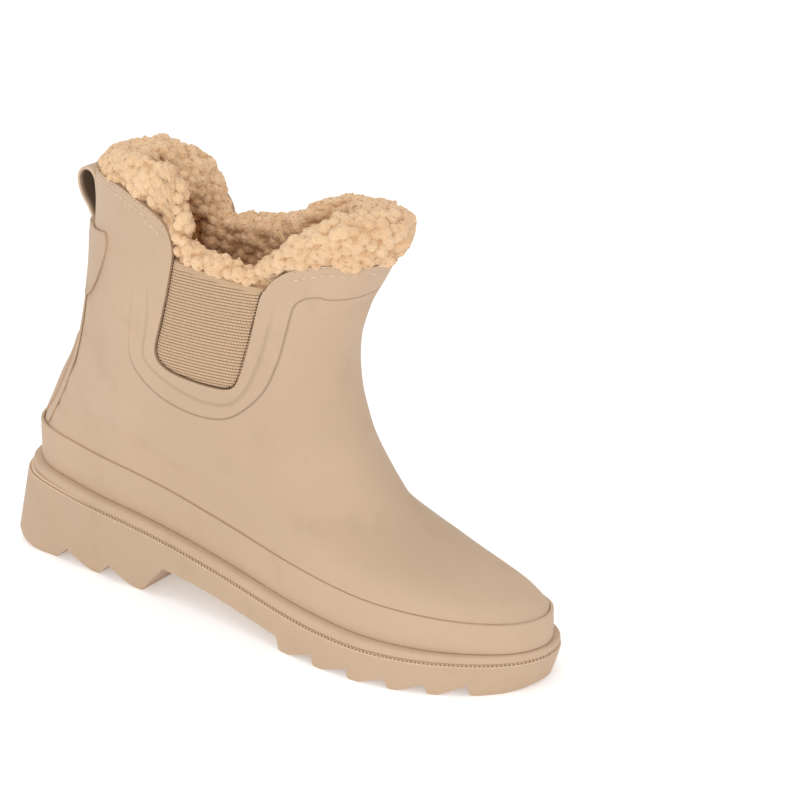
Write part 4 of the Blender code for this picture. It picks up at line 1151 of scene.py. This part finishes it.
def make_stitches(finish):
    """Short raised stitches below the collar edge, one modelled and copied along the seam."""
    shape, pattern = small_shape(bpy.ops.mesh.primitive_uv_sphere_add, STITCH_SIZE, segments=8,
                                 ring_count=6, radius=0.5)
    chance = np.random.default_rng(7)
    placed = []
    for side in ("lateral", "medial"):
        for x, station in seam_places(side, STITCHES_REAR, STITCHES_FRONT, STITCH_PITCH):
            z = float(edge_height(side, station)) - SEAM_BELOW
            corner = 1.5 if 100.0 <= x <= 172.0 else 0.0
            spot, out = side_of(side, z - corner, station - corner)
            along = side_of(side, z, station + 1.0)[0] - side_of(side, z, station - 1.0)[0]
            along[2] += float(edge_height(side, station + 1.0)
                              - edge_height(side, station - 1.0))
            along /= np.linalg.norm(along)
            lean = chance.uniform(-STITCH_LEAN, STITCH_LEAN)
            across = np.cross(out, along)
            along = along * math.cos(lean) + across * math.sin(lean)
            across = np.cross(out, along)
            stretch = chance.uniform(0.85, 1.1)
            placed.append(spot + out * (0.04 + shape[:, 2:]) + along * shape[:, :1] * stretch
                          + across * shape[:, 1:2])
    copies("collar_stitches", placed, pattern, finish)


# ---------------------------------------------------------------- gores
GORE_DEPTH = 2.4
ELASTIC = 1.6
GORE_SEAM = 4.0
GORE_LOW = 111.0
GORE_TOP_REAR = 172.0
GORE_TOP_FRONT = 165.6
GORE_ROWS = 280
GORE_COLUMNS = 90
GORE_WIDTH = 46.0
RIB_PROUD = 0.26
BAND_PROUD = 0.22
LIP_SUNK = 0.3
GORE_LEVELS = np.arange(90.0, 180.0, 1.0)
HOLE_PITCH = 1.5
HOLE_SIZE = (0.8, 0.6, 1.0)
EDGE_HOLE_PITCH = 2.6
EDGE_HOLE_SIZE = (0.7, 0.3, 0.45)
EDGE_HOLES_REAR = (52.0, 110.0)
EDGE_HOLES_FRONT = (174.0, 204.0)

# Stations of the opening's rear and front edge at each height.
Upright = namedtuple("Upright", "height x")
GORE_REAR = [Upright(116.0, 100.0), Upright(126.0, 98.8), Upright(172.6, 113.2)]
GORE_FRONT = [Upright(116.0, 140.0), Upright(126.0, 145.0), Upright(167.0, 159.6)]


def gore_swell(inside):
    """How far the elastic swells out into its opening, from the distance inside its edge."""
    return 1.0 * smoothstep(inside, -0.1, 0.7) + 0.45 * smoothstep(inside, 0.6, 3.5)


def gore_edge(table, z):
    """Station of one edge of the opening at a height."""
    return np.interp(z, [edge.height for edge in table], [edge.x for edge in table])


def make_gore(name, side, finish, replaced):
    """Elastic panel with real ribs and a plain woven edge at the top."""
    table = {level: half_ring(side, level) for level in GORE_LEVELS}
    spots = []
    outs = []
    prouds = []
    marks = []
    for up in np.linspace(0.0, 1.0, GORE_ROWS):
        for along in np.linspace(0.0, 1.0, GORE_COLUMNS):
            top = GORE_TOP_REAR + (GORE_TOP_FRONT - GORE_TOP_REAR) * along
            z = GORE_LOW + (top - GORE_LOW) * up
            rear = gore_edge(GORE_REAR, z) - GORE_SEAM
            front = gore_edge(GORE_FRONT, z) + GORE_SEAM
            x = rear + (front - rear) * along
            height = (top - GORE_LOW) * up
            below_top = (top - GORE_LOW) * (1.0 - up)
            if side == "medial":
                z = z - float(medial_drop(x))
                x = float(medial_x(x))
            level = level_at(z, x)
            low = math.floor(level)
            spot = np.zeros(3)
            out = np.zeros(3)
            for share, key in ((1.0 - level + low, float(low)), (level - low, float(low + 1))):
                line, normals = table[key]
                spot += share * between(x, line[:, 0], line)
                out += share * between(x, line[:, 0], normals)
            wave = 0.5 + 0.5 * math.cos(2.0 * math.pi * height / RIB_PITCH)
            band = float(1.0 - smoothstep(below_top, 2.6, 3.1))
            lip = float(1.0 - smoothstep(below_top, 0.0, 0.5))
            rib = wave * (1.0 - band)
            spots.append(spot)
            outs.append(out)
            prouds.append(RIB_PROUD * rib**0.7 + BAND_PROUD * band - LIP_SUNK * lip)
            marks.append((wave, band, along * GORE_WIDTH, height))
    spots = np.array(spots)
    outs = np.array(outs)
    edge = on_side(side, smooth_line(COLLAR_LATERAL, 1.6))
    proud = np.array(prouds) + gore_swell(line_distance(spots[:, [0, 2]], edge))
    shape = (GORE_ROWS, GORE_COLUMNS, 3)
    outer = (spots - outs * (GORE_DEPTH - proud)[:, None]).reshape(shape)
    inner = (spots - outs * (GORE_DEPTH + ELASTIC)).reshape(shape)
    gore = slab(name, outer, inner, finish, 60.0)
    for label, values in zip(("rib", "band", "along", "up"), np.array(marks).T):
        store(gore, label, np.tile(values, 2))
    stands_for(gore, replaced)


def make_needle_holes(finish):
    """Fine needle holes round the opening of each gore and close under the collar's edge, as small
    near-black beads of painted shade.
    """
    shape, pattern = small_shape(bpy.ops.mesh.primitive_ico_sphere_add, subdivisions=1,
                                 radius=0.5)
    placed = []
    for side in ("lateral", "medial"):
        line = on_side(side, smooth_line(COLLAR_LATERAL[OPENING], 1.0))
        length = travel(line)
        middle = line.mean(axis=0)
        for place in np.arange(6.0, length[-1] - 2.0, HOLE_PITCH):
            x, z = (float(np.interp(place, length, line[:, k])) for k in (0, 1))
            inward = middle - (x, z)
            inward /= np.hypot(*inward)
            into = 0.45 + 0.85 * float(smoothstep(-inward[0], 0.2, 0.9))
            x += inward[0] * into
            spot, out = side_of(side, level_at(z + inward[1] * into, x), x)
            sunk = GORE_DEPTH - 0.1 - float(gore_swell(into))
            placed.append(spot - out * sunk + shape * HOLE_SIZE)
        for _, x in seam_places(side, EDGE_HOLES_REAR, EDGE_HOLES_FRONT, EDGE_HOLE_PITCH):
            spot, out = side_of(side, float(edge_height(side, x)) - 0.9, x)
            placed.append(spot - out * 0.05 + shape * EDGE_HOLE_SIZE)
    copies("needle_holes", placed, pattern, finish)


# ---------------------------------------------------------------- fleece
FLEECE_COLUMNS = 496
FLEECE_ROWS = 190
BACK_ROWS = 8
CREST_LEVEL = 190.0
LINING_FOOT = 124.0
PLUMP_REAR = 16.0
PLUMP_FRONT = 11.0
PLUMP_MEDIAL = 9.0
DEEP_LIP = -3.0
LUMP_RADIUS = (0.58, 0.98)
LUMP_SINK = 2.0
LUMP_FLOOR = 0.8
CLUMP_SPACING = 2.3
CLUMP_RADIUS = (1.3, 2.2)
MOUND_RISE = 1.3
CURLS_DOWN_TO = 30.0
YARN = 0.30
CURL_RADIUS = 0.72
CURL_STEPS = 6
CURL_SIDES = 5
SOCK_LUMPS = 0.35
INSOLE_LUMPS = 0.15

# The insole's rounded edge as pairs of inward distance and height above the sole's rim.
INSOLE_WALL = 4.4
INSOLE_SECTION = [(0.0, 1.5), (0.0, 4.3), (0.4, 5.0), (1.2, 5.4), (3.0, 5.3), (6.0, 5.0),
                  (10.0, 4.8), (15.0, 4.7)]

# Spacing of the lumps by how far down the inside they lie.
Lumps = namedtuple("Lumps", "down spacing")
LUMPS = [Lumps(-6.0, 3.9), Lumps(4.0, 3.9), Lumps(12.0, 4.4), Lumps(22.0, 4.9)]

# The rubber's outer face at even levels, read between them by the fleece.
TABLE_LEVELS = np.arange(60.0, 218.0, 2.0)
SKIN_TABLE = [skin(level) for level in TABLE_LEVELS]
SKIN_POINTS = np.array([pair[0] for pair in SKIN_TABLE])
SKIN_NORMALS = np.array([pair[1] for pair in SKIN_TABLE])
CREST_RING = ring(CREST_LEVEL)


def skin_at(column, levels, depth):
    """Points under the rubber's outer face down one column, between the stored levels."""
    place = (np.asarray(levels) - TABLE_LEVELS[0]) / (TABLE_LEVELS[1] - TABLE_LEVELS[0])
    low = np.clip(np.floor(place).astype(int), 0, len(TABLE_LEVELS) - 2)
    share = (place - low)[:, None]
    left = int(column) % DENSE
    right = (left + 1) % DENSE
    part = column - int(column)
    spots = SKIN_POINTS[:, left] * (1 - part) + SKIN_POINTS[:, right] * part
    outs = SKIN_NORMALS[:, left] * (1 - part) + SKIN_NORMALS[:, right] * part
    spot = spots[low] * (1 - share) + spots[low + 1] * share
    out = outs[low] * (1 - share) + outs[low + 1] * share
    out /= np.linalg.norm(out, axis=1)[:, None]
    return spot - out * np.asarray(depth)[:, None]


def pile_profile(column):
    """Height and depth down one column: from behind the rubber, over the crest, down the inside."""
    x, y, _ = CREST_RING[column]
    side = "lateral" if y < 0 else "medial"
    table = CREST_LATERAL if side == "lateral" else CREST_MEDIAL
    crest, reach = (float(np.interp(x, [c.x for c in table], values)) for values in
                    ([c.height for c in table], [c.reach for c in table]))
    window = float(gore_window(x - (MEDIAL_SHIFT if side == "medial" else 0.0)))
    behind = RUBBER + GAP + ELASTIC * window
    edge = float(edge_height(side, x))
    plump = PLUMP_REAR * (1.0 - float(smoothstep(x, 46.0, 100.0)))
    plump += PLUMP_FRONT * float(smoothstep(x, 158.0, 196.0))
    plump += PLUMP_MEDIAL * window * (side == "medial")
    rise = crest - edge
    lip = -reach if reach < DEEP_LIP else min(behind, -reach)
    thick = behind + PILE - lip
    return np.array([
        (edge - 7.0, behind + 0.3), (edge - 1.0, behind), (edge + 0.4, lip + 0.8),
        (edge + 1.0 + 0.30 * rise, lip), (edge + 0.72 * rise, lip + 0.6),
        (edge + 0.93 * rise, lip + 0.22 * thick + 0.1 * plump),
        (crest, lip + 0.50 * thick + 0.4 * plump),
        (edge + 0.90 * rise, lip + 0.82 * thick + 0.8 * plump),
        (edge + 0.60 * rise, behind + PILE - 0.4 + plump),
        (edge - 4.0, behind + PILE + 0.85 * plump), (edge - 24.0, behind + PILE + 0.1 * plump),
        (LINING_FOOT, behind + PILE)])


def blur_round(values, width):
    """Smooth a closed run of values."""
    weights = np.hanning(2 * width + 3)[1:-1]
    weights /= weights.sum()
    padded = np.concatenate([values[-width:], values, values[:width]])
    return np.convolve(padded, weights, "valid")


def fleece_grid():
    """Grid over the visible pile, how far down the inside each point lies, and the hidden back.

    The columns stand closer together where the crest climbs.
    """
    knots = np.arange(0, DENSE, 4)
    profiles = np.array([pile_profile(column) for column in knots])
    crest_heights = np.append(profiles[:, 6, 0], profiles[0, 6, 0])
    climb = np.concatenate([[0.0], np.cumsum(np.hypot(2.2, np.diff(crest_heights)))])
    count = FLEECE_COLUMNS
    columns = np.interp(np.arange(count) * climb[-1] / count, climb, np.append(knots, DENSE))
    fine = np.empty((count, profiles.shape[1], 2))
    for k in range(profiles.shape[1]):
        for axis in (0, 1):
            smooth = blur_round(profiles[:, k, axis], 1)
            fine[:, k, axis] = np.interp(columns, np.append(knots, DENSE),
                                         np.append(smooth, smooth[0]))
    grid = np.empty((FLEECE_ROWS, count, 3))
    inside = np.empty((FLEECE_ROWS, count))
    back = np.empty((BACK_ROWS, count, 3))
    for c in range(count):
        bend = smooth_line([Point(*p) for p in fine[c]], 1.0)
        length = travel(bend)
        crest = length[np.argmax(bend[:, 0])]
        place = np.linspace(0.0, length[-1], FLEECE_ROWS)
        levels = np.interp(place, length, bend[:, 0])
        depth = np.interp(place, length, bend[:, 1])
        grid[:, c] = skin_at(columns[c], levels, depth)
        inside[:, c] = place - crest
        first, last = fine[c][0], fine[c][-1]
        back[:, c] = skin_at(columns[c], np.linspace(last[0], first[0] - 3.0, BACK_ROWS),
                             np.full(BACK_ROWS, first[1]))
    return grid, inside, back


def grid_normals(grid):
    """Normals of a grid whose rows run round."""
    round_way = np.roll(grid, -1, 1) - np.roll(grid, 1, 1)
    down_way = np.gradient(grid, axis=0)
    normal = np.cross(round_way, down_way)
    normal /= np.linalg.norm(normal, axis=2)[:, :, None] + 1e-9
    return normal


def scatter(points, spacing, chance):
    """Indices of points no nearer to each other than the spacing at each."""
    taken = {}
    chosen = []
    cell = float(spacing.max())
    for i in chance.permutation(len(points)):
        x, y, z = (int(v) for v in np.floor(points[i] / cell))
        near = [j for dx in (-1, 0, 1) for dy in (-1, 0, 1) for dz in (-1, 0, 1)
                for j in taken.get((x + dx, y + dy, z + dz), ())]
        if near:
            apart = points[near] - points[i]
            if (apart * apart).sum(axis=1).min() < spacing[i]**2:
                continue
        taken.setdefault((x, y, z), []).append(i)
        chosen.append(i)
    return np.array(chosen)


def domes(flat, centres, radius):
    """Height of the nearest overlapping domes over each point, and its share of a full dome."""
    tree = kdtree.KDTree(len(centres))
    for n, i in enumerate(centres):
        tree.insert(flat[i], n)
    tree.balance()
    lift = np.zeros(len(flat))
    share = np.zeros(len(flat))
    for i in range(len(flat)):
        for _, n, far in tree.find_n(flat[i], 3):
            if far < radius[n]:
                dome = math.sqrt(1.0 - (far / radius[n])**2)
                lift[i] = max(lift[i], dome * radius[n])
                share[i] = max(share[i], dome)
    return lift, share


def shade(deep):
    """Share of the painted shade colours, from how far down the inside a point lies."""
    return smoothstep(deep, 16.0, 44.0)


def make_fleece(finish):
    """Deep curly pile over the collar: soft lumps on a rolled sheet, with fine curls of yarn."""
    chance = np.random.default_rng(21)
    grid, inside, back = fleece_grid()
    normal = grid_normals(grid)
    outer_row = FLEECE_ROWS // 6
    if (normal[outer_row] * (grid[outer_row] - grid[outer_row].mean(axis=0))).sum() < 0:
        normal = -normal
    flat = grid.reshape(-1, 3)
    out = normal.reshape(-1, 3)
    deep = inside.reshape(-1)
    spacing = np.interp(deep, [row.down for row in LUMPS], [row.spacing for row in LUMPS])
    centres = scatter(flat, spacing, chance)
    radius = spacing[centres] * chance.uniform(*LUMP_RADIUS, len(centres))
    lift, share = domes(flat, centres, radius)
    clumps = scatter(flat, spacing * CLUMP_SPACING, chance)
    radius = spacing[clumps] * chance.uniform(*CLUMP_RADIUS, len(clumps))
    mound = domes(flat, clumps, radius)[1]
    lift = np.maximum(lift, LUMP_FLOOR) + MOUND_RISE * mound
    hidden = smoothstep(np.arange(FLEECE_ROWS) / FLEECE_ROWS, 0.0, 0.06)[:, None]
    hidden = hidden.repeat(FLEECE_COLUMNS, 1).reshape(-1)
    moved = flat + out * ((lift - LUMP_SINK) * hidden)[:, None]
    unseen = np.zeros(BACK_ROWS * FLEECE_COLUMNS)
    pile = piece("fleece_pile", np.concatenate([moved, back.reshape(-1, 3)]),
                 ring_faces(FLEECE_ROWS + BACK_ROWS, FLEECE_COLUMNS, True), finish, 0)
    # Painted shade: darker between the lumps, and darker down inside and on the hidden back.
    store(pile, "curl", np.concatenate([share, unseen]))
    store(pile, "deep", np.concatenate([shade(deep), unseen + 1.0]))
    stands_for(pile, "fleece_lining")
    shown = np.nonzero((hidden > 0.9) & (deep < CURLS_DOWN_TO) & (share > 0.35))[0]
    apart = np.interp(deep[shown], [12.0, 18.0], [2.7, 3.4])
    some = shown[scatter(moved[shown], apart, chance)]
    make_curls(finish, moved[some], out[some], deep[some], share[some], chance)


def curl_shape():
    """One open curl of yarn: a bent tube, thinner at its ends."""
    points = []
    for k in range(CURL_STEPS):
        turn = math.radians(-110.0 + 220.0 * k / (CURL_STEPS - 1))
        thin = YARN * (0.55 + 0.45 * math.sin(math.pi * k / (CURL_STEPS - 1)))
        for s in range(CURL_SIDES):
            round_turn = 2.0 * math.pi * s / CURL_SIDES
            reach = CURL_RADIUS + thin * math.cos(round_turn)
            points.append((reach * math.sin(turn), thin * math.sin(round_turn),
                           reach * math.cos(turn)))
    faces = ring_faces(CURL_STEPS, CURL_SIDES, False)
    last = (CURL_STEPS - 1) * CURL_SIDES
    faces.append(tuple(range(CURL_SIDES - 1, -1, -1)))
    faces.append(tuple(range(last, last + CURL_SIDES)))
    return np.array(points), faces


def make_curls(finish, places, out, deep, share, chance):
    """Fine curls standing out of the lumps, one modelled and copied."""
    shape, pattern = curl_shape()
    placed = []
    tops = []
    for i in range(len(places)):
        aside = np.cross(out[i], chance.normal(size=3))
        aside /= np.linalg.norm(aside)
        up = out[i] + aside * chance.uniform(-0.7, 0.7)
        up /= np.linalg.norm(up)
        cross = np.cross(up, chance.normal(size=3))
        cross /= np.linalg.norm(cross)
        turned = np.stack([cross, np.cross(up, cross), up])
        size = chance.uniform(0.8, 1.3)
        local = (shape * (size, size, size * chance.uniform(0.6, 1.0))) @ turned
        placed.append(places[i] - out[i] * chance.uniform(0.2, 0.6) + local)
        # Painted light and shade: each curl paler on high lumps and at its outer end.
        tops.append(np.clip(0.5 + 0.4 * share[i] + 0.15 * (local @ out[i]), 0.0, 1.0))
    curls = copies("fleece_curls", placed, pattern, finish)
    store(curls, "curl", np.concatenate(tops))
    store(curls, "deep", np.repeat(shade(deep), len(shape)))
    stands_for(curls, "fleece_lining")


def make_sock(finish):
    """Pile down inside the foot, where little light reaches."""
    chance = np.random.default_rng(3)
    columns = COLUMNS[::2]
    rows = []
    back = []
    for height in (1.8, 8.0):
        for side, depth in ((rows, PILE), (back, 1.0)):
            plan = inset(BASE, REBATE + RUBBER + GAP + depth)[columns]
            side.append(np.column_stack([plan, rim_height(plan[:, 0]) + height]))
    behind = RUBBER + GAP + PILE
    for level in np.concatenate([[37.0], np.linspace(41.0, 128.0, 40)]):
        here, normal = skin(level)
        depth = behind + 2.1 * gore_window(here[:, 0]) * smoothstep(level, 84.0, 97.0)
        rows.append((here - normal * depth[:, None])[columns])
        back.append((here - normal * (depth - PILE + 1.0)[:, None])[columns])
    grid = np.array(rows)
    normal = grid_normals(grid)
    lumps = chance.normal(size=grid.shape[:2]) * SOCK_LUMPS
    risen = smoothstep(np.arange(len(rows)), 0.0, 4.0)[:, None, None]
    inner = grid + normal * lumps[:, :, None] * risen
    sock = tube("fleece_sock", list(inner) + back[::-1], finish, 0)
    # Painted light and shade: raised lumps paler, and the whole sock in the dark inside colours.
    curl = 0.5 + np.concatenate([lumps, np.zeros_like(lumps)]).reshape(-1)
    store(sock, "curl", np.clip(curl, 0.0, 1.0))
    store(sock, "deep", np.ones(2 * lumps.size))
    stands_for(sock, "fleece_lining")


def make_insole(finish):
    """Pile sock lining on the insole, softly dished, its edge rounded."""
    chance = np.random.default_rng(9)
    columns = COLUMNS[::2]
    depth = REBATE + RUBBER + GAP + PILE + 0.6
    rows = []
    for inward, height in INSOLE_SECTION:
        plan = inset(BASE, depth + inward)[columns]
        rows.append(np.column_stack([plan, rim_height(plan[:, 0]) + height]))
    points = np.array(rows)
    lumps = chance.normal(size=points.shape[:2]) * INSOLE_LUMPS
    points[:, :, 2] += lumps * (points[:, :, 2] > rim_height(points[:, :, 0]) + INSOLE_WALL)
    insole = capped("insole_pile", points, finish, 60.0)
    # Painted light and shade: raised lumps paler, and the whole insole in the dark inside colours.
    store(insole, "curl", np.clip(0.6 + lumps.reshape(-1) * 2.0, 0.0, 1.0))
    store(insole, "deep", np.ones(lumps.size))
    stands_for(insole, "insole")


# ---------------------------------------------------------------- back of the shaft
SHAFT_BACK = 12.0
STRIP_THICK = 0.9
PLATE_THICK = 1.0
PATCH_THICK = 1.2
PATCH_RISE = 5.0
EVENINGS = 6
LOOP_STRAP = 1.5
LOOP_HALF_WIDTH = 10.8
LOOP_COLUMNS = 9

# Half widths of the overlays, measured round the back from its middle.
Half = namedtuple("Half", "height width")
PATCH_EDGE = [Half(135.0, 24.0), Half(136.5, 30.0), Half(140.0, 34.0), Half(147.0, 39.5),
              Half(157.0, 45.0), Half(163.0, 47.5), Half(167.0, 48.5), Half(168.2, 47.6),
              Half(169.3, 45.8)]
STRIP_EDGE = [Half(64.9, 25.4), Half(90.0, 24.4), Half(135.5, 23.0)]
PLATE_EDGE = [Half(67.5, 15.0), Half(68.5, 18.0), Half(71.5, 19.0), Half(90.0, 19.5),
              Half(105.0, 18.0), Half(108.5, 16.5), Half(110.0, 13.0)]


def wrap(name, edge, depth, thickness, finish, replaced, round_edge, rise=0.0):
    """Overlay on the back of the shaft with softly rounded edges, its corners raised by rise."""
    foot = edge[0].height
    top = edge[-1].height
    heights = sorted({p.height for p in edge} | set(np.arange(foot + 2.0, top - 1.5, 2.5)))
    outer = []
    inner = []
    for z in heights:
        half = float(np.interp(z, [p.height for p in edge], [p.width for p in edge]))
        outer_row = []
        inner_row = []
        for across in np.linspace(-1.0, 1.0, 33):
            lift = rise * (z - foot) / (top - foot) * across**2
            point, out = back_of(level_at(z + lift, SHAFT_BACK), across * half)
            inner_row.append(point + out * depth)
            outer_row.append(point + out * (depth + thickness(z, across * half)))
        outer.append(outer_row)
        inner.append(inner_row)
    for rows in (outer, inner):
        for _ in range(EVENINGS):
            even = np.array(rows)
            rows[1:-1] = list(0.25 * even[:-2] + 0.5 * even[1:-1] + 0.25 * even[2:])
    made = slab(name, outer, inner, finish, 180.0)
    soften(made, round_edge)
    stands_for(made, replaced)


def make_back(finish):
    """Heel strip, the plain plate on it, and the patch over the ends of the pull loop."""
    def even(thickness):
        return lambda z, across: thickness

    def patch(z, across):
        middle = 1.0 - smoothstep(abs(across), 13.0, 25.0)
        return PATCH_THICK + middle * (0.4 + 2.4 * smoothstep(z, 140.0, 167.0))

    wrap("heel_strip_cover", STRIP_EDGE, 0.1, even(STRIP_THICK), finish, "heel_strip", 0.3)
    wrap("heel_plate_cover", PLATE_EDGE, STRIP_THICK - GAP, even(PLATE_THICK + GAP), finish,
         "heel_plate", 0.35)
    wrap("loop_patch_cover", PATCH_EDGE, 0.15, patch, finish, "loop_patch", 0.35, PATCH_RISE)


def make_loop(finish):
    """Folded strap, softly cupped, its two ends under the patch."""
    line = smooth_line(LOOP_LINE, 0.8)
    along = np.gradient(line, axis=0)
    along /= np.linalg.norm(along, axis=1)[:, None]
    side = np.stack([-along[:, 1], along[:, 0]], 1) * LOOP_STRAP / 2
    outer = []
    inner = []
    for y in np.linspace(-LOOP_HALF_WIDTH, LOOP_HALF_WIDTH, LOOP_COLUMNS):
        pull = 0.35 * (y / LOOP_HALF_WIDTH)**2
        outer.append([(x - pull, y, z) for x, z in line + side])
        inner.append([(x - pull, y, z) for x, z in line - side])
    loop = slab("pull_loop_strap", outer, inner, finish, 180.0)
    across = np.repeat(np.abs(np.linspace(-1.0, 1.0, LOOP_COLUMNS)), len(line))
    # Masks of the painted shade on the inner side and of the painted highlight along the side
    # edges.
    store(loop, "inside", np.repeat([0.0, 1.0], len(across)))
    store(loop, "edge_highlight", np.tile(smoothstep(across, 0.9, 1.0), 2))
    soften(loop, 0.4)
    stands_for(loop, "pull_loop")


# ---------------------------------------------------------------- stage, light and camera
CAMERA_PLACE = (0.7490, -0.9120, 0.6000)
CAMERA_TURN = 36.63
CAMERA_DROP = 23.0
CAMERA_LENS = 128.837
AIM = (0.0, 0.0, 0.1)
FLOOR_SIZE = 12.0
FLOOR_COLOUR = (0.95, 0.95, 0.95, 1.0)
FLOOR_GLOW = 0.26
WHITE = (1.0, 1.0, 1.0, 1.0)
SKY_STRENGTH = 0.80
Lamp = namedtuple("Lamp", "name place size power")
LAMPS = [Lamp("key", (0.85, -1.78, 0.95), 1.2, 9.7), Lamp("fill", (1.7, -0.2, 0.7), 1.0, 1.2),
         Lamp("top", (-0.2, -0.35, 1.9), 1.4, 5.8)]


def make_camera():
    """Camera turned about the vertical and dropped toward the floor, in degrees."""
    turn = math.radians(CAMERA_TURN)
    drop = math.radians(CAMERA_DROP)
    right = (math.cos(turn), math.sin(turn), 0.0)
    up = (-math.sin(turn) * math.sin(drop), math.cos(turn) * math.sin(drop), math.cos(drop))
    back = (math.sin(turn) * math.cos(drop), -math.cos(turn) * math.cos(drop), math.sin(drop))
    lens = bpy.data.cameras.new("camera")
    lens.lens = CAMERA_LENS
    lens.sensor_width = 36.0
    lens.clip_start = 0.05
    camera = bpy.data.objects.new("camera", lens)
    bpy.context.collection.objects.link(camera)
    matrix = Matrix.Identity(4)
    for i in range(3):
        matrix[i][0] = right[i]
        matrix[i][1] = up[i]
        matrix[i][2] = back[i]
        matrix[i][3] = CAMERA_PLACE[i]
    camera.matrix_world = matrix
    bpy.context.scene.camera = camera


def make_light(lamp):
    """Soft square light aimed at the middle of the boot."""
    light = bpy.data.lights.new(lamp.name, "AREA")
    light.size = lamp.size
    light.energy = lamp.power
    made = bpy.data.objects.new(lamp.name, light)
    bpy.context.collection.objects.link(made)
    made.location = lamp.place
    made.rotation_mode = "QUATERNION"
    aim = Vector(np.array(AIM) - np.array(lamp.place))
    made.rotation_quaternion = aim.to_track_quat("-Z", "Y")


def make_stage():
    """Plain pale floor, even sky and soft lights."""
    bpy.ops.object.select_all(action="DESELECT")
    bpy.ops.mesh.primitive_plane_add(size=FLOOR_SIZE, location=(0.0, 0.0, 0.0))
    floor = bpy.context.object
    floor.name = "floor"
    made, _, shader = new_finish("pale_floor", 0.9)
    shader.inputs["Base Color"].default_value = FLOOR_COLOUR
    shader.inputs["Emission Color"].default_value = WHITE
    shader.inputs["Emission Strength"].default_value = FLOOR_GLOW
    floor.data.materials.append(made)
    world = bpy.data.worlds.new("studio")
    world.use_nodes = True
    sky = world.node_tree.nodes["Background"]
    sky.inputs["Color"].default_value = WHITE
    sky.inputs["Strength"].default_value = SKY_STRENGTH
    bpy.context.scene.world = world
    for lamp in LAMPS:
        make_light(lamp)
    bpy.context.scene.view_settings.view_transform = "Standard"


# ---------------------------------------------------------------- all of it
def main():
    make_camera()
    make_stage()
    mottle = mottle_group()
    step = step_group()
    sole_rubber = rubber_finish("sole_rubber", mottle, 0.96)
    band_rubber = rubber_finish("band_rubber", mottle)
    trim_rubber = rubber_finish("trim_rubber", mottle, 0.98)
    pile = pile_finish()
    make_outsole(rubber_finish("sole_rubber_lip_highlight", mottle, 0.96, lip=True))
    make_teeth(sole_rubber)
    make_welt(band_rubber)
    make_rand(band_rubber)
    make_shell(shell_finish(mottle, step), plain_finish("cut_rubber_shaded", CUT_SHADE_TONES, 900.0, 0.8))
    make_stitches(plain_finish("stitch_thread", THREAD_TONES, 1800.0, 0.8))
    elastic = elastic_finish()
    make_gore("gore_lateral_webbing", "lateral", elastic, "gore_lateral")
    make_gore("gore_medial_webbing", "medial", elastic, "gore_medial")
    make_needle_holes(plain_finish("needle_hole", HOLE_SHADE_TONES, 1500.0, 0.9))
    make_fleece(pile)
    make_sock(pile)
    make_insole(pile)
    make_back(trim_rubber)
    make_loop(strap_finish(mottle))


main()
